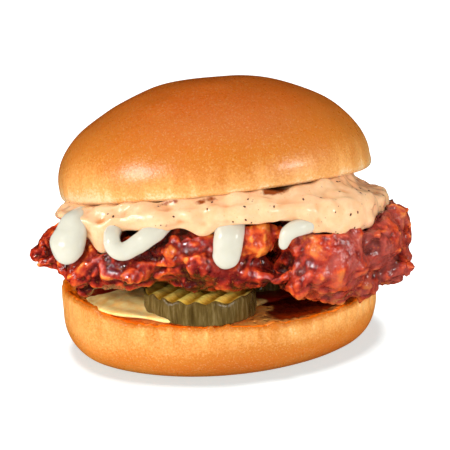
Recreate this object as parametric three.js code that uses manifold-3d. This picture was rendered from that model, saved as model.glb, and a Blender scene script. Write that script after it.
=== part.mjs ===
// A fried-chicken sandwich on a brioche bun, in millimetres, +Z up.
// The heel of the bun stands on its flat foot. On its cut face lie a cream spread and three
// crinkle-cut pickle chips, then two pieces of glazed fried chicken, runs of white sauce that
// hang over the chicken's edge, a thick layer of spiced sauce, and the crown, which sits tilted.
// The bread, the chips and the spiced sauce are made first, and the chicken and the white sauce
// are cut clear of them.
import * as THREE from 'three';
import { mergeVertices } from 'three/addons/utils/BufferGeometryUtils.js';
import Module from 'manifold-3d';

// ---- driving dimensions -------------------------------------------------------------------
const BUN_RADIUS = 52.2;
const CLEARANCE = 0.3;            // left between two pieces that touch
const WELD = 1e-5;                // points closer than this become one

const HEEL_HEIGHT = 18.2;         // floor to the cut face, on the middle axis
const HEEL_FALL_RIGHT = 3.53;     // the cut face falls by this from the middle to the right rim
const HEEL_FALL_BACK = 0.57;      // and by this from the middle to the back rim
const HEEL_ROUNDING_OUT = 10.7;   // the rounded lower edge: how far in it reaches
const HEEL_ROUNDING_UP = 12.6;    // and how high
const HEEL_FULLNESS = 0.9;        // power of the rounding: 1 is a quarter of an ellipse
const HEEL_CORNER_STEPS = 4;
const HEEL_LIP = [[0.1, 0.9], [0.94, 0]];   // rings over the side: inset, drop from the cut face
const HEEL_STEPS = 36;

const CROWN_RISE = 29.8;          // widest ring to the top
const CROWN_SKIRT = 5.3;          // cut face to the widest ring
const CROWN_SKIRT_RINGS = [[2.5, 0], [1.3, 0.8], [0.7, 2.65]];    // inset, height
const CROWN_INSET = 0.5;          // of the widest ring
const CROWN_FULLNESS = 1.06;      // power of the dome: 1 is a quarter of an ellipse
const CROWN_DOME_STEPS = 5;
const CROWN_SHIFT = 0.7;          // the top lies this far to the left of the middle
const CROWN_CENTRE = [1.3, 0, 53.4];
const CROWN_TILT_FRONT = 7.4;     // degrees: the front edge is lifted
const CROWN_TILT_RIGHT = 3.1;     // degrees: the right edge is lifted
const CROWN_TURN = 1;             // radians, so that the two outlines do not match
const CROWN_STEPS = 40;

const SPREAD_THICKNESS = 1.9;
const SPREAD_RINGS = [[0.97, 0], [1, 0.4], [0.97, 0.85], [0.85, 1]];    // of reach, of thickness
const SPREAD_STEPS = 28;

const CHIP_THICKNESS = 7.9;       // over the ridges
const CHIP_RIDGE_PITCH = 5.3;
const CHIP_RIDGE_HEIGHT = 1.1;
const CHIP_RIDGE_STEPS = 6;
const CHIP_LIFT = 2 * CLEARANCE;  // from the bread to the chip's lowest ridges
const CHIP_STEPS = 26;
const SEAT_STEPS = 14;
const SEAT_DEPTH = 5;             // how far a chip's room reaches down into the bread

const CRAG_COUNT = 14;            // crags of crust that stand out from each piece of chicken
const CRAG_SMALLEST = 3.2;
const CRAG_LARGEST = 5.6;
const CRAG_DEPTH = 0.93;          // its middle lies at this share of the lobe's radius
const CRAG_TOP = 0.45;            // band of heights on the lobe that the crags stand in
const CRAG_BOTTOM = -0.65;
const CRAG_LONGEST = 1.5;         // length, as a share of its radius
const CRAG_SHORTEST = 0.9;
const CRAG_FLATNESS = 0.8;

const BEAD_SIDES = 6;             // section of a hanging run of white sauce
const BEAD_STEP = 4.6;
const BEAD_TIP = 0.6;             // how far the rounded end stands out past the last ring
const BEAD_SLANT = 12;            // how far its flat side looks up, against how far it looks out
const BEAD_DETAIL = 0.15;         // the cuts that shape it leave no facets finer than this

const SAUCE_STEPS = 40;
const SAUCE_THICKNESS = 7.5;      // spiced sauce, from the crown's cut face down to the chicken
const SAUCE_INNER_RADIUS = 36;    // within it the layer is even
const SAUCE_TOP = 0.8;            // the shoulder meets the crown this far below its cut face
const LIP_CURL = 2.2;             // how far the lower edge curls back in
const LIP_WAIST = 0.6;            // height of the lip's widest ring, as a share of the droop
const LIP_SLOPES = [90, 45, 0];   // degrees
const SHOULDER_SHARES = [0.3, 0.65, 1];
const SHOULDER_FALL = 1.6;        // power of the shoulder's fall: 1 is straight

const rad = THREE.MathUtils.degToRad;
const TURN = 2 * Math.PI;
const GOLDEN_ANGLE = Math.PI * (3 - Math.sqrt(5));

// ---- solids ------------------------------------------------------------------------------
const kernel = await Module();
kernel.setup();

function solidOf(geometry) {
  const bare = geometry.clone();
  bare.deleteAttribute('normal');
  bare.deleteAttribute('uv');
  const merged = mergeVertices(bare, WELD);
  return new kernel.Manifold(new kernel.Mesh({
    numProp: 3,
    vertProperties: Float32Array.from(merged.attributes.position.array),
    triVerts: Uint32Array.from(merged.index.array),
  }));
}

function geometryOf(solid) {
  const mesh = solid.getMesh();
  const geometry = new THREE.BufferGeometry();
  geometry.setAttribute('position', new THREE.BufferAttribute(mesh.vertProperties.slice(), 3));
  geometry.setIndex(new THREE.BufferAttribute(mesh.triVerts.slice(), 1));
  return geometry;
}

// The same shape with every vertex moved out along its normal: the room that a piece takes up.
function grown(solid, margin) {
  const geometry = geometryOf(solid);
  geometry.computeVertexNormals();
  const { position, normal } = geometry.attributes;
  for (let i = 0; i < position.count; i += 1) {
    position.setXYZ(
      i,
      position.getX(i) + margin * normal.getX(i),
      position.getY(i) + margin * normal.getY(i),
      position.getZ(i) + margin * normal.getZ(i),
    );
  }
  return solidOf(geometry);
}

function largest(solid) {
  const bodies = solid.decompose();
  return bodies.reduce((best, body) => (body.volume() > best.volume() ? body : best));
}

function without(solid, rooms) {
  return largest(rooms.reduce((left, room) => left.subtract(room), solid));
}

// Growing can thin out in a tight crease, so the neighbour itself is taken away too.
function clearOf(solid, others) {
  return without(solid, others.flatMap((other) => [grown(other, CLEARANCE), other]));
}

// A closed skin: a first pole, rings of equal length, each turning anticlockwise seen from the
// side that the last pole is on, and a last pole.
function closedSkin(firstPole, rings, lastPole) {
  const steps = rings[0].length;
  const points = [firstPole, ...rings.flat(), lastPole];
  const at = (ring, step) => 1 + ring * steps + (step % steps);
  const last = points.length - 1;
  const faces = [];
  for (let step = 0; step < steps; step += 1) {
    faces.push(0, at(0, step + 1), at(0, step));
    for (let ring = 0; ring + 1 < rings.length; ring += 1) {
      faces.push(at(ring, step), at(ring, step + 1), at(ring + 1, step + 1));
      faces.push(at(ring, step), at(ring + 1, step + 1), at(ring + 1, step));
    }
    faces.push(at(rings.length - 1, step), at(rings.length - 1, step + 1), last);
  }
  const geometry = new THREE.BufferGeometry();
  geometry.setAttribute('position', new THREE.Float32BufferAttribute(points.flat(), 3));
  geometry.setIndex(faces);
  return geometry;
}

function ringOf(steps, pointAt) {
  return Array.from({ length: steps }, (_, step) => pointAt((step / steps) * TURN));
}

// Even shares from 0 to 1 that jump about as the number goes on.
const scatter = (number) => {
  const wide = Math.sin(number * 12.9898 + 4.1414) * 43758.5453;
  return wide - Math.floor(wide);
};

// ---- numbers that follow the compass --------------------------------------------------------
// A hump of height 1 round one direction, as wide as asked, both in degrees.
function hump(angle, towards, width) {
  const apart = Math.atan2(Math.sin(angle - rad(towards)), Math.cos(angle - rad(towards)));
  return Math.exp(-((apart / rad(width)) ** 2));
}

// A level with humps on it, each [height, towards, width], and waves round it, each [height,
// count, phase].
function compass({ level, humps = [], waves = [] }, angle) {
  const humped = humps.reduce(
    (sum, [height, towards, width]) => sum + height * hump(angle, towards, width),
    level,
  );
  return waves.reduce(
    (sum, [height, count, phase]) => sum + height * Math.sin(count * angle + phase),
    humped,
  );
}

// Eased from each knot, [degrees, value] from -180 to 180, to the next one.
function eased(knots, angle) {
  const degrees = THREE.MathUtils.euclideanModulo(THREE.MathUtils.radToDeg(angle) + 180, 360) - 180;
  const next = Math.max(1, knots.findIndex(([towards]) => towards >= degrees));
  const [from, to] = [knots[next - 1], knots[next]];
  const share = THREE.MathUtils.smoothstep(degrees, from[0], to[0]);
  return THREE.MathUtils.lerp(from[1], to[1], share);
}

// Hand-baked rolls are never quite round.
const BUN_OUTLINE = { level: 1, waves: [[0.006, 2, 0.6], [0.005, 3, 2], [0.003, 7, 0]] };

const heelCutHeight = (x, y) =>
  HEEL_HEIGHT - (HEEL_FALL_RIGHT * x + HEEL_FALL_BACK * y) / BUN_RADIUS;

// ---- bun -----------------------------------------------------------------------------------
function makeHeel() {
  const rings = [];
  const addRing = (radius, heightAt) => rings.push(ringOf(HEEL_STEPS, (angle) => {
    const reach = radius * compass(BUN_OUTLINE, angle);
    const x = reach * Math.cos(angle);
    const y = reach * Math.sin(angle);
    return [x, y, heightAt(x, y)];
  }));
  const foot = BUN_RADIUS - HEEL_ROUNDING_OUT;
  for (let i = 0; i <= HEEL_CORNER_STEPS; i += 1) {
    const slope = (1 - i / HEEL_CORNER_STEPS) * (Math.PI / 2);
    const height = HEEL_ROUNDING_UP * (1 - Math.sin(slope) ** HEEL_FULLNESS);
    addRing(foot + HEEL_ROUNDING_OUT * Math.cos(slope), () => height);
  }
  for (const [inset, drop] of HEEL_LIP) {
    addRing(BUN_RADIUS - inset, (x, y) => heelCutHeight(x, y) - drop);
  }
  return closedSkin([0, 0, 0], rings, [0, 0, HEEL_HEIGHT]);
}

const crownTilt = new THREE.Matrix4()
  .makeRotationY(-rad(CROWN_TILT_RIGHT))
  .multiply(new THREE.Matrix4().makeRotationX(-rad(CROWN_TILT_FRONT)));
crownTilt.setPosition(...CROWN_CENTRE);

const crownCutHeight = (x, y) => CROWN_CENTRE[2] +
  (x - CROWN_CENTRE[0]) * Math.tan(rad(CROWN_TILT_RIGHT)) - y * Math.tan(rad(CROWN_TILT_FRONT));

// Cut face, short skirt and dome, made upright and then tilted into place.
function makeCrown() {
  const rings = [];
  const addRing = (radius, height, shift) => rings.push(ringOf(CROWN_STEPS, (angle) => {
    const reach = radius * compass(BUN_OUTLINE, angle + CROWN_TURN);
    return [reach * Math.cos(angle) - shift, reach * Math.sin(angle), height];
  }));
  for (const [inset, height] of CROWN_SKIRT_RINGS) {
    addRing(BUN_RADIUS - inset, height, 0);
  }
  for (let i = 0; i < CROWN_DOME_STEPS; i += 1) {
    const slope = (i / CROWN_DOME_STEPS) * (Math.PI / 2);
    const rise = Math.sin(slope) ** CROWN_FULLNESS;
    const reach = (BUN_RADIUS - CROWN_INSET) * Math.cos(slope);
    addRing(reach, CROWN_SKIRT + CROWN_RISE * rise, CROWN_SHIFT * rise);
  }
  const top = [-CROWN_SHIFT, 0, CROWN_SKIRT + CROWN_RISE];
  return closedSkin([0, 0, 0], rings, top).applyMatrix4(crownTilt);
}

// ---- pickle chips ---------------------------------------------------------------------------
function layOnHeel(geometry, [x, y]) {
  geometry.rotateX(-Math.atan(HEEL_FALL_BACK / BUN_RADIUS));
  geometry.rotateY(Math.atan(HEEL_FALL_RIGHT / BUN_RADIUS));
  return geometry.translate(x, y, heelCutHeight(x, y) + CHIP_LIFT);
}

// A slab whose two faces carry straight ridges, cut to a round outline. It is made level, then
// tipped to lie on the heel's sloping cut face.
function makeChip({ centre, radius, ridgeTurn }) {
  const waves = Math.ceil((2 * radius) / CHIP_RIDGE_PITCH) + 1;
  const half = (waves * CHIP_RIDGE_PITCH) / 2;
  const wavy = Array.from({ length: waves * CHIP_RIDGE_STEPS + 1 }, (_, i) => {
    const wave = i / CHIP_RIDGE_STEPS;
    const ridge = 0.5 * CHIP_RIDGE_HEIGHT * (1 + Math.cos(wave * TURN));
    return new THREE.Vector2(-half + wave * CHIP_RIDGE_PITCH, ridge);
  });
  const body = CHIP_THICKNESS - CHIP_RIDGE_HEIGHT;
  const upper = wavy.map((point) => new THREE.Vector2(point.x, point.y + body)).reverse();
  const slab = new THREE.ExtrudeGeometry(new THREE.Shape([...wavy, ...upper]), {
    depth: 2 * half, bevelEnabled: false, steps: 1,
  });
  slab.translate(0, 0, -half);
  slab.rotateX(Math.PI / 2);
  slab.rotateZ(rad(ridgeTurn));
  const outline = new THREE.CylinderGeometry(radius, radius, 4 * CHIP_THICKNESS, CHIP_STEPS);
  outline.rotateX(Math.PI / 2);
  const chip = geometryOf(solidOf(slab).intersect(solidOf(outline)));
  return layOnHeel(chip, centre);
}

// The plain round room that a chip takes up, from inside the bread to just over its ridges.
function makeSeat({ centre, radius }) {
  const reach = (radius + CLEARANCE) / Math.cos(Math.PI / SEAT_STEPS);
  const height = SEAT_DEPTH + CHIP_THICKNESS + CLEARANCE;
  const seat = new THREE.CylinderGeometry(reach, reach, height, SEAT_STEPS);
  seat.rotateX(Math.PI / 2);
  return layOnHeel(seat.translate(0, 0, height / 2 - SEAT_DEPTH), centre);
}

const CHIPS = {
  pickle_front: { centre: [-5.9, -35.4], radius: 17.4, ridgeTurn: -24 },
  pickle_left: { centre: [-16.6, -7], radius: 12.2, ridgeTurn: 38 },
  pickle_right: { centre: [9.2, -7.8], radius: 12.8, ridgeTurn: -60 },
};

// ---- spread on the heel -----------------------------------------------------------------------
// A low pool that reaches the rim at the front left and stays further in elsewhere. The chips are
// pressed through it onto the bread.
const SPREAD_REACH = {
  level: 36,
  humps: [[15.6, -130, 32], [4.6, -106, 12], [9, 100, 40], [6, 170, 18], [-7, -40, 38]],
  waves: [[0.9, 7, 0]],
};

function makeSpread() {
  const bed = (x, y) => heelCutHeight(x, y) + CLEARANCE;
  const rings = SPREAD_RINGS.map(([share, thickness]) => ringOf(SPREAD_STEPS, (angle) => {
    const reach = share * compass(SPREAD_REACH, angle);
    const x = reach * Math.cos(angle);
    const y = reach * Math.sin(angle);
    return [x, y, bed(x, y) + thickness * SPREAD_THICKNESS];
  }));
  const middle = bed(0, 0);
  return closedSkin([0, 0, middle], rings, [0, 0, middle + SPREAD_THICKNESS]);
}

// ---- fried chicken ----------------------------------------------------------------------------
// A piece is a cluster of egg-shaped lobes, with crags of crust standing out all over it and a
// few knobs that hang from its edge.
function lobe({ at, size, turn = 0, around = 12, down = 7 }) {
  const egg = new THREE.SphereGeometry(1, around, down);
  egg.rotateX(Math.PI / 2);
  egg.scale(...size);
  egg.rotateZ(rad(turn));
  return solidOf(egg.translate(...at));
}

const knob = ({ at, size, turn }) => lobe({ at, size, turn, around: 7, down: 4 });

const UP = new THREE.Vector3(0, 0, 1);

function crag(host, number) {
  const height = THREE.MathUtils.lerp(CRAG_TOP, CRAG_BOTTOM, scatter(number + 0.5));
  const spin = number * GOLDEN_ANGLE;
  const flat = Math.sqrt(1 - height * height);
  const spot = new THREE.Vector3(flat * Math.cos(spin), flat * Math.sin(spin), height)
    .multiply(new THREE.Vector3(...host.size))
    .multiplyScalar(CRAG_DEPTH)
    .applyAxisAngle(UP, rad(host.turn ?? 0))
    .add(new THREE.Vector3(...host.at));
  const radius = THREE.MathUtils.lerp(CRAG_SMALLEST, CRAG_LARGEST, scatter(number));
  const length = THREE.MathUtils.lerp(CRAG_SHORTEST, CRAG_LONGEST, scatter(number + 0.2));
  const size = [radius * length, radius, radius * CRAG_FLATNESS];
  return knob({ at: spot.toArray(), size, turn: 180 * scatter(number + 0.7) });
}

function makeChicken({ lobes, knobs, firstCrag }) {
  const numbers = Array.from({ length: CRAG_COUNT }, (_, i) => i);
  const crags = numbers.map((i) => crag(lobes[i % lobes.length], firstCrag + i));
  return [...lobes.map(lobe), ...crags, ...knobs.map(knob)]
    .reduce((joined, next) => joined.add(next));
}

const LEFT_PIECE = {
  lobes: [
    { at: [-24, -14, 37.5], size: [33, 32, 10] },
    { at: [-48.8, -14, 38.5], size: [9.6, 12.5, 6.8], turn: 20 },
    { at: [-31, -35, 37.5], size: [21, 12.5, 9], turn: -20 },
    { at: [-6, -39, 40], size: [19, 11, 11], turn: 4 },
    { at: [3, -39, 33.5], size: [16, 11.5, 7.4], turn: -6 },
    { at: [11, -42.5, 45], size: [8.5, 8.5, 8.5] },
    { at: [-21, 12, 33.5], size: [37, 36, 14.5], turn: 14 },
  ],
  knobs: [
    { at: [-52.5, -24, 36], size: [4.6, 3.4, 2.8] },
    { at: [13.2, -45.2, 43.6], size: [5.2, 4.4, 6.2] },
  ],
  firstCrag: 1,
};
const RIGHT_PIECE = {
  lobes: [
    { at: [33.5, -35, 36], size: [16, 17.5, 16.5], turn: -12 },
    { at: [43, -20, 37], size: [17, 22, 13], turn: 30 },
    { at: [56, -8, 34.5], size: [9.5, 15, 12.5], turn: 6 },
    { at: [56, -17, 25.5], size: [6, 8.5, 7.5] },
    { at: [34, 8, 31], size: [25, 30, 15], turn: -8 },
    { at: [57, 10, 28], size: [8, 13, 9] },
    { at: [27, 29, 32], size: [21, 19, 11.5], turn: -30 },
  ],
  knobs: [
    { at: [45, -30, 22.4], size: [7, 4.2, 4.4] },
    { at: [53.5, -27, 25], size: [4.6, 3.8, 3.4] },
    { at: [38.4, -33.5, 22], size: [4.4, 4.2, 4] },
    { at: [59.4, -14, 42], size: [5, 6, 4.6] },
  ],
  firstCrag: 41,
};

// ---- sauces -----------------------------------------------------------------------------------
// A thick bead: oval rings carried along a smooth path, flattened against what it hangs on and
// as wide as its girth tells there, closed by a rounded end at both sides.
function makeBead({ path, radius, girth, depth }) {
  const curve = new THREE.CatmullRomCurve3(path.map((point) => new THREE.Vector3(...point)));
  const length = curve.getLength();
  const steps = Math.ceil(length / BEAD_STEP);
  const girthAt = (share) => {
    const place = share * (girth.length - 1);
    const start = Math.min(Math.floor(place), girth.length - 2);
    return THREE.MathUtils.lerp(girth[start], girth[start + 1], place - start);
  };
  const rings = [];
  for (let i = 0; i <= steps; i += 1) {
    const share = i / steps;
    const middle = curve.getPointAt(share);
    const tangent = curve.getTangentAt(share);
    const outward = new THREE.Vector3(middle.x / 2, middle.y, BEAD_SLANT);
    const width = radius * girthAt(share);
    const end = Math.min(share, 1 - share) * length + BEAD_TIP;
    const reach = width * Math.sqrt(1 - (1 - Math.min(1, end / width)) ** 2);
    const across = tangent.clone().cross(outward).setLength(reach);
    const inward = tangent.clone().cross(across).multiplyScalar(depth);
    rings.push(ringOf(BEAD_SIDES, (angle) => middle.clone()
      .addScaledVector(across, Math.cos(angle))
      .addScaledVector(inward, Math.sin(angle)).toArray()));
  }
  const tip = (share, side) => curve.getPointAt(share)
    .addScaledVector(curve.getTangentAt(share), BEAD_TIP * side).toArray();
  return closedSkin(tip(0, -1), rings, tip(1, 1));
}

// The runs hang over the chicken's edge; their ends go in under the spiced sauce.
const WHITE_SAUCE = {
  white_sauce_left: {
    path: [[-41.5, -25, 51], [-44, -30.5, 51.4], [-45.2, -36.4, 49], [-46.8, -40, 44.8],
      [-48.6, -40.2, 39.8]],
    radius: 6.1, girth: [0.4, 0.5, 0.84, 1, 0.6], depth: 0.6,
  },
  white_sauce_front_left: {
    path: [[-28.8, -34, 52.4], [-30.4, -40.6, 51], [-31.9, -47, 48.4], [-31.3, -48.8, 45.4],
      [-28.2, -49.3, 44.2], [-23.4, -49.3, 46.1], [-19.4, -48.7, 48.3], [-15.8, -46, 50],
      [-11, -39, 52]],
    radius: 2.9, girth: [0.9, 0.9, 0.92, 1, 1.12, 1.05, 0.9], depth: 0.9,
  },
  white_sauce_front: {
    path: [[4.2, -42, 53.4], [4.4, -49, 49], [3.6, -51.2, 44.4], [2.6, -51.4, 40.4],
      [1.7, -51, 37.1]],
    radius: 4.9, girth: [1.05, 1.05, 1, 0.88, 0.66], depth: 0.75,
  },
  white_sauce_front_right: {
    path: [[33.1, -43, 46.9], [29.8, -47.6, 47.4], [26.9, -50.4, 47.9], [24, -51.6, 47.7],
      [21.9, -52, 46.3], [20.9, -51.9, 44.4], [20.2, -51.5, 41.8]],
    radius: 2.8, girth: [0.8, 0.9, 1, 1.1, 1.05, 0.85, 0.5], depth: 0.9,
  },
  white_sauce_back_right: {
    path: [[28, 34, 45], [36, 40.5, 41.6], [35, 44, 37], [29, 46, 34.4], [22, 46, 37.4],
      [18, 43.5, 41], [14, 36, 45]],
    radius: 3.1, girth: [1, 1, 1.05, 1, 0.9], depth: 0.85,
  },
  white_sauce_back: {
    path: [[-3, 35, 45], [-3, 45.4, 41.6], [-4, 48, 36.6], [-5, 47.6, 31.6]],
    radius: 4.2, girth: [1, 1, 1, 0.8], depth: 0.8,
  },
  white_sauce_back_left: {
    path: [[-21, 34, 45], [-22, 43.4, 41.6], [-26, 46.6, 36.4], [-33, 44.4, 34.2],
      [-39, 40, 37.2], [-35, 31, 45]],
    radius: 3.2, girth: [1, 0.95, 1.05, 1, 1], depth: 0.85,
  },
};

// A thick slack layer under the crown. Round its lip the shoulder slopes out from the crown's cut
// face to the widest ring, and the lower side curls back in to the lobes that droop on the
// chicken. It swells well past the crown at the front right.
const LIP_REACH = {
  level: 51,
  humps: [[9.5, -54, 22], [6.2, -12, 26], [5.8, -136, 28], [1.8, -88, 16], [1.2, 45, 20],
    [1.6, 130, 24], [3, -139, 11], [1.6, -155, 12]],
  waves: [[0.5, 9, 1]],
};
const LIP_SHOULDER = { level: 4.5, humps: [[9.5, -20, 42]] };
const LIP_DROOP = [
  [-180, 8.5], [-168, 6], [-158, 3.4], [-149, 3.2], [-143, 4.5], [-137, 7.5], [-131, 11.8],
  [-125, 7.8], [-110, 8], [-103, 9], [-95, 11.5], [-88, 9.8], [-74, 9.8], [-67, 11],
  [-58, 15.2], [-46, 18.2], [-31, 16.4], [-12, 17], [8, 12], [26, 9.5], [44, 11.5], [60, 12],
  [78, 9], [96, 10.6], [118, 8.6], [138, 11.6], [158, 8.8], [180, 8.5],
];

function makeSpicedSauce() {
  const rings = [];
  const addRing = (place) => rings.push(ringOf(SAUCE_STEPS, (angle) => {
    const [reach, depth] = place(angle);
    const x = CROWN_CENTRE[0] + reach * Math.cos(angle);
    const y = reach * Math.sin(angle);
    return [x, y, crownCutHeight(x, y) - depth];
  }));
  addRing(() => [SAUCE_INNER_RADIUS, SAUCE_THICKNESS]);
  for (const slope of LIP_SLOPES.map(rad)) {
    addRing((angle) => [
      compass(LIP_REACH, angle) - LIP_CURL * (1 - Math.cos(slope)),
      eased(LIP_DROOP, angle) * THREE.MathUtils.lerp(LIP_WAIST, 1, Math.sin(slope)),
    ]);
  }
  for (const share of SHOULDER_SHARES) {
    addRing((angle) => [
      compass(LIP_REACH, angle) - compass(LIP_SHOULDER, angle) * share,
      THREE.MathUtils.lerp(LIP_WAIST * eased(LIP_DROOP, angle), SAUCE_TOP, share ** SHOULDER_FALL),
    ]);
  }
  const [x, , z] = CROWN_CENTRE;
  return closedSkin([x, 0, z - SAUCE_THICKNESS], rings, [x, 0, z - CLEARANCE]);
}

// ---- assembly ---------------------------------------------------------------------------------
const FINISH = {
  heel: { color: 0xe3a45c, roughness: 0.62 },
  crown: { color: 0xc9742f, roughness: 0.38 },
  spread: { color: 0xf3d3a0, roughness: 0.35 },
  pickle: { color: 0x7d7a32, roughness: 0.3 },
  chicken: { color: 0xa2341a, roughness: 0.3 },
  whiteSauce: { color: 0xf0efe2, roughness: 0.28 },
  spicedSauce: { color: 0xf2c79a, roughness: 0.3 },
};

const sandwich = new THREE.Group();

function place(name, solid, finish) {
  const material = new THREE.MeshStandardMaterial({ metalness: 0, ...FINISH[finish] });
  const mesh = new THREE.Mesh(geometryOf(solid), material);
  mesh.name = name;
  sandwich.add(mesh);
  return solid;
}

const heel = place('bun_heel', solidOf(makeHeel()), 'heel');
const crown = place('bun_crown', solidOf(makeCrown()), 'crown');
const sauce = clearOf(solidOf(makeSpicedSauce()), [crown]);

const seats = Object.values(CHIPS).map((chip) => solidOf(makeSeat(chip)));
const spread = place('heel_spread', without(solidOf(makeSpread()), seats), 'spread');

for (const [name, chip] of Object.entries(CHIPS)) {
  place(name, solidOf(makeChip(chip)), 'pickle');
}

const around = [heel, spread, sauce];
const leftMeat = without(makeChicken(LEFT_PIECE), seats);
const left = place('chicken_left', clearOf(leftMeat, around), 'chicken');
const rightMeat = without(makeChicken(RIGHT_PIECE), seats);
const right = place('chicken_right', clearOf(rightMeat, [...around, left]), 'chicken');

const filling = [crown, sauce, left, right];
const beads = [];
for (const [name, run] of Object.entries(WHITE_SAUCE)) {
  const bead = clearOf(solidOf(makeBead(run)), [...filling, ...beads]);
  beads.push(place(name, bead.simplify(BEAD_DETAIL), 'whiteSauce'));
}
place('spiced_sauce', sauce, 'spicedSauce');

// The origin is on the floor, under the middle of the whole sandwich.
const extent = new THREE.Box3().setFromObject(sandwich);
const middle = extent.getCenter(new THREE.Vector3());
sandwich.position.set(-middle.x, -middle.y, -extent.min.z);

export default sandwich;
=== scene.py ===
"""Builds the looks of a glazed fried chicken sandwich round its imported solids."""

import itertools
import math

import bpy
import numpy as np
from bpy.props import FloatProperty, FloatVectorProperty, IntProperty, PointerProperty
from mathutils import Matrix, Vector


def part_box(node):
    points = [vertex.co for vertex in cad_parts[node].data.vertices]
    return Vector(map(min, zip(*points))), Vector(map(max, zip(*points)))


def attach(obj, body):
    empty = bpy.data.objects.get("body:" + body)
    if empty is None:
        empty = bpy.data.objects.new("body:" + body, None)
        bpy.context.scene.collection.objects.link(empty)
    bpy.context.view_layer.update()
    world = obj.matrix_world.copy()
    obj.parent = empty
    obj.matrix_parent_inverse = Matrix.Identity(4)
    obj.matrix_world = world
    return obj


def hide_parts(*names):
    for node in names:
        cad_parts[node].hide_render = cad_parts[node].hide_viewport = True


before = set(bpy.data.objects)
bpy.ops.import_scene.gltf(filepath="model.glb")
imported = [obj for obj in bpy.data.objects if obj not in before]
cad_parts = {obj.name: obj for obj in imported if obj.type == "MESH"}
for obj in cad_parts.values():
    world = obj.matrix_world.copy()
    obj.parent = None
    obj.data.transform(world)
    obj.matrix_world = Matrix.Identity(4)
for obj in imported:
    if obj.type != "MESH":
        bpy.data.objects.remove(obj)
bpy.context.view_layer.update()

bl_info = {
    "name": "Glazed Chicken Sandwich",
    "version": (1, 0, 0),
    "blender": (4, 5, 0),
    "location": "3D View > Sidebar > Sandwich",
    "description": "Builds a glazed fried chicken sandwich round its packed solids",
    "category": "Object",
}

MM = 0.001
TURN = 2 * math.pi
BODY = "root"

# Lengths are in millimetres, measured from the middle of the heel's foot, as the solids are.
BUN_RADIUS = 52.2
HEEL_HEIGHT = 18.2
HEEL_STEPS = 36                     # corners of the outline that the heel's solid has
HEEL_FALL = (3.53, 0.57)            # drop of the cut face at the right rim and at the back rim
HEEL_ROUNDING_OUT = 10.7
HEEL_ROUNDING_UP = 12.6
CROWN_RISE = 29.8
CROWN_SKIRT = 5.3
CROWN_SHIFT = 0.7
CROWN_RIM_INSET = 1.3
CROWN_CENTRE = np.array([1.3, 0.0, 53.4])
CROWN_TILT_FRONT = math.radians(7.4)
CROWN_TILT_RIGHT = math.radians(3.1)
CHIP_THICKNESS = 7.9
CHIP_RIDGE_PITCH = 5.3
CHIP_RIDGE_HEIGHT = 1.1
CHIP_REST = 0.3                     # gap between a chip and the bread
CHIPS = {
    "pickle_front": {"centre": (-5.9, -35.4), "radius": 17.4, "ridge_turn": -24},
    "pickle_left": {"centre": (-16.6, -7.0), "radius": 12.2, "ridge_turn": 38},
    "pickle_right": {"centre": (9.2, -7.8), "radius": 12.8, "ridge_turn": -60},
}
# Runs of white sauce: the path of each, its radius, its girth from the first end to the last
# as shares of that radius, and how deep it is as a share of its width.
LOOPS = {
    "white_sauce_left": {
        "path": [(-41.5, -31, 54.2), (-44.0, -37.2, 52.6), (-45.1, -39.8, 48.6),
                 (-46.9, -41.2, 44.4), (-49.0, -40.6, 39.8)],
        "radius": 5.9, "girth": (0.4, 0.62, 0.9, 1.0, 0.68), "depth": 0.6,
    },
    "white_sauce_front_left": {
        "path": [(-28.8, -34, 52.4), (-30.4, -40.6, 51), (-31.9, -47, 48.4), (-31.3, -48.8, 45.4),
                 (-28.2, -49.3, 44.2), (-23.4, -49.3, 46.5), (-19.4, -48.7, 49),
                 (-15.8, -46, 51), (-11, -39, 52.6)],
        "radius": 2.9, "girth": (0.9, 0.9, 0.92, 1.0, 1.08, 1.0, 0.85), "depth": 0.9,
    },
    "white_sauce_front": {
        "path": [(4.2, -42, 53.4), (4.4, -49, 49), (3.6, -51.2, 44.4), (2.6, -51.4, 40.4),
                 (1.7, -51, 37.1)],
        "radius": 4.8, "girth": (1.05, 1.05, 1.0, 0.9, 0.7), "depth": 0.75,
    },
    "white_sauce_front_right": {
        "path": [(33.1, -43, 48), (29.8, -47.6, 48.4), (26.9, -50.4, 48.6), (24, -51.6, 48.1),
                 (21.9, -52, 46.6), (20.9, -51.9, 44.6), (20.2, -51.5, 42)],
        "radius": 2.5, "girth": (0.8, 0.9, 1.0, 1.1, 1.05, 0.85, 0.5), "depth": 0.9,
    },
    "white_sauce_back_right": {
        "path": [(28, 34, 45), (36, 40.5, 41.6), (35, 44, 37), (29, 46, 34.4), (22, 46, 37.4),
                 (18, 43.5, 41), (14, 36, 45)],
        "radius": 3.1, "girth": (1.0, 1.0, 1.05, 1.0, 0.9), "depth": 0.85,
    },
    "white_sauce_back": {
        "path": [(-3, 41, 43), (-3, 48, 40.5), (-4, 49.4, 36), (-5, 49, 31)],
        "radius": 4.2, "girth": (1.0, 1.0, 1.0, 0.8), "depth": 0.8,
    },
    "white_sauce_back_left": {
        "path": [(-21, 34, 45), (-22, 43.4, 41.6), (-26, 46.6, 36.4), (-33, 44.4, 34.2),
                 (-39, 40, 37.2), (-35, 31, 45)],
        "radius": 3.2, "girth": (1.0, 0.95, 1.05, 1.0, 1.0), "depth": 0.85,
    },
}

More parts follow.
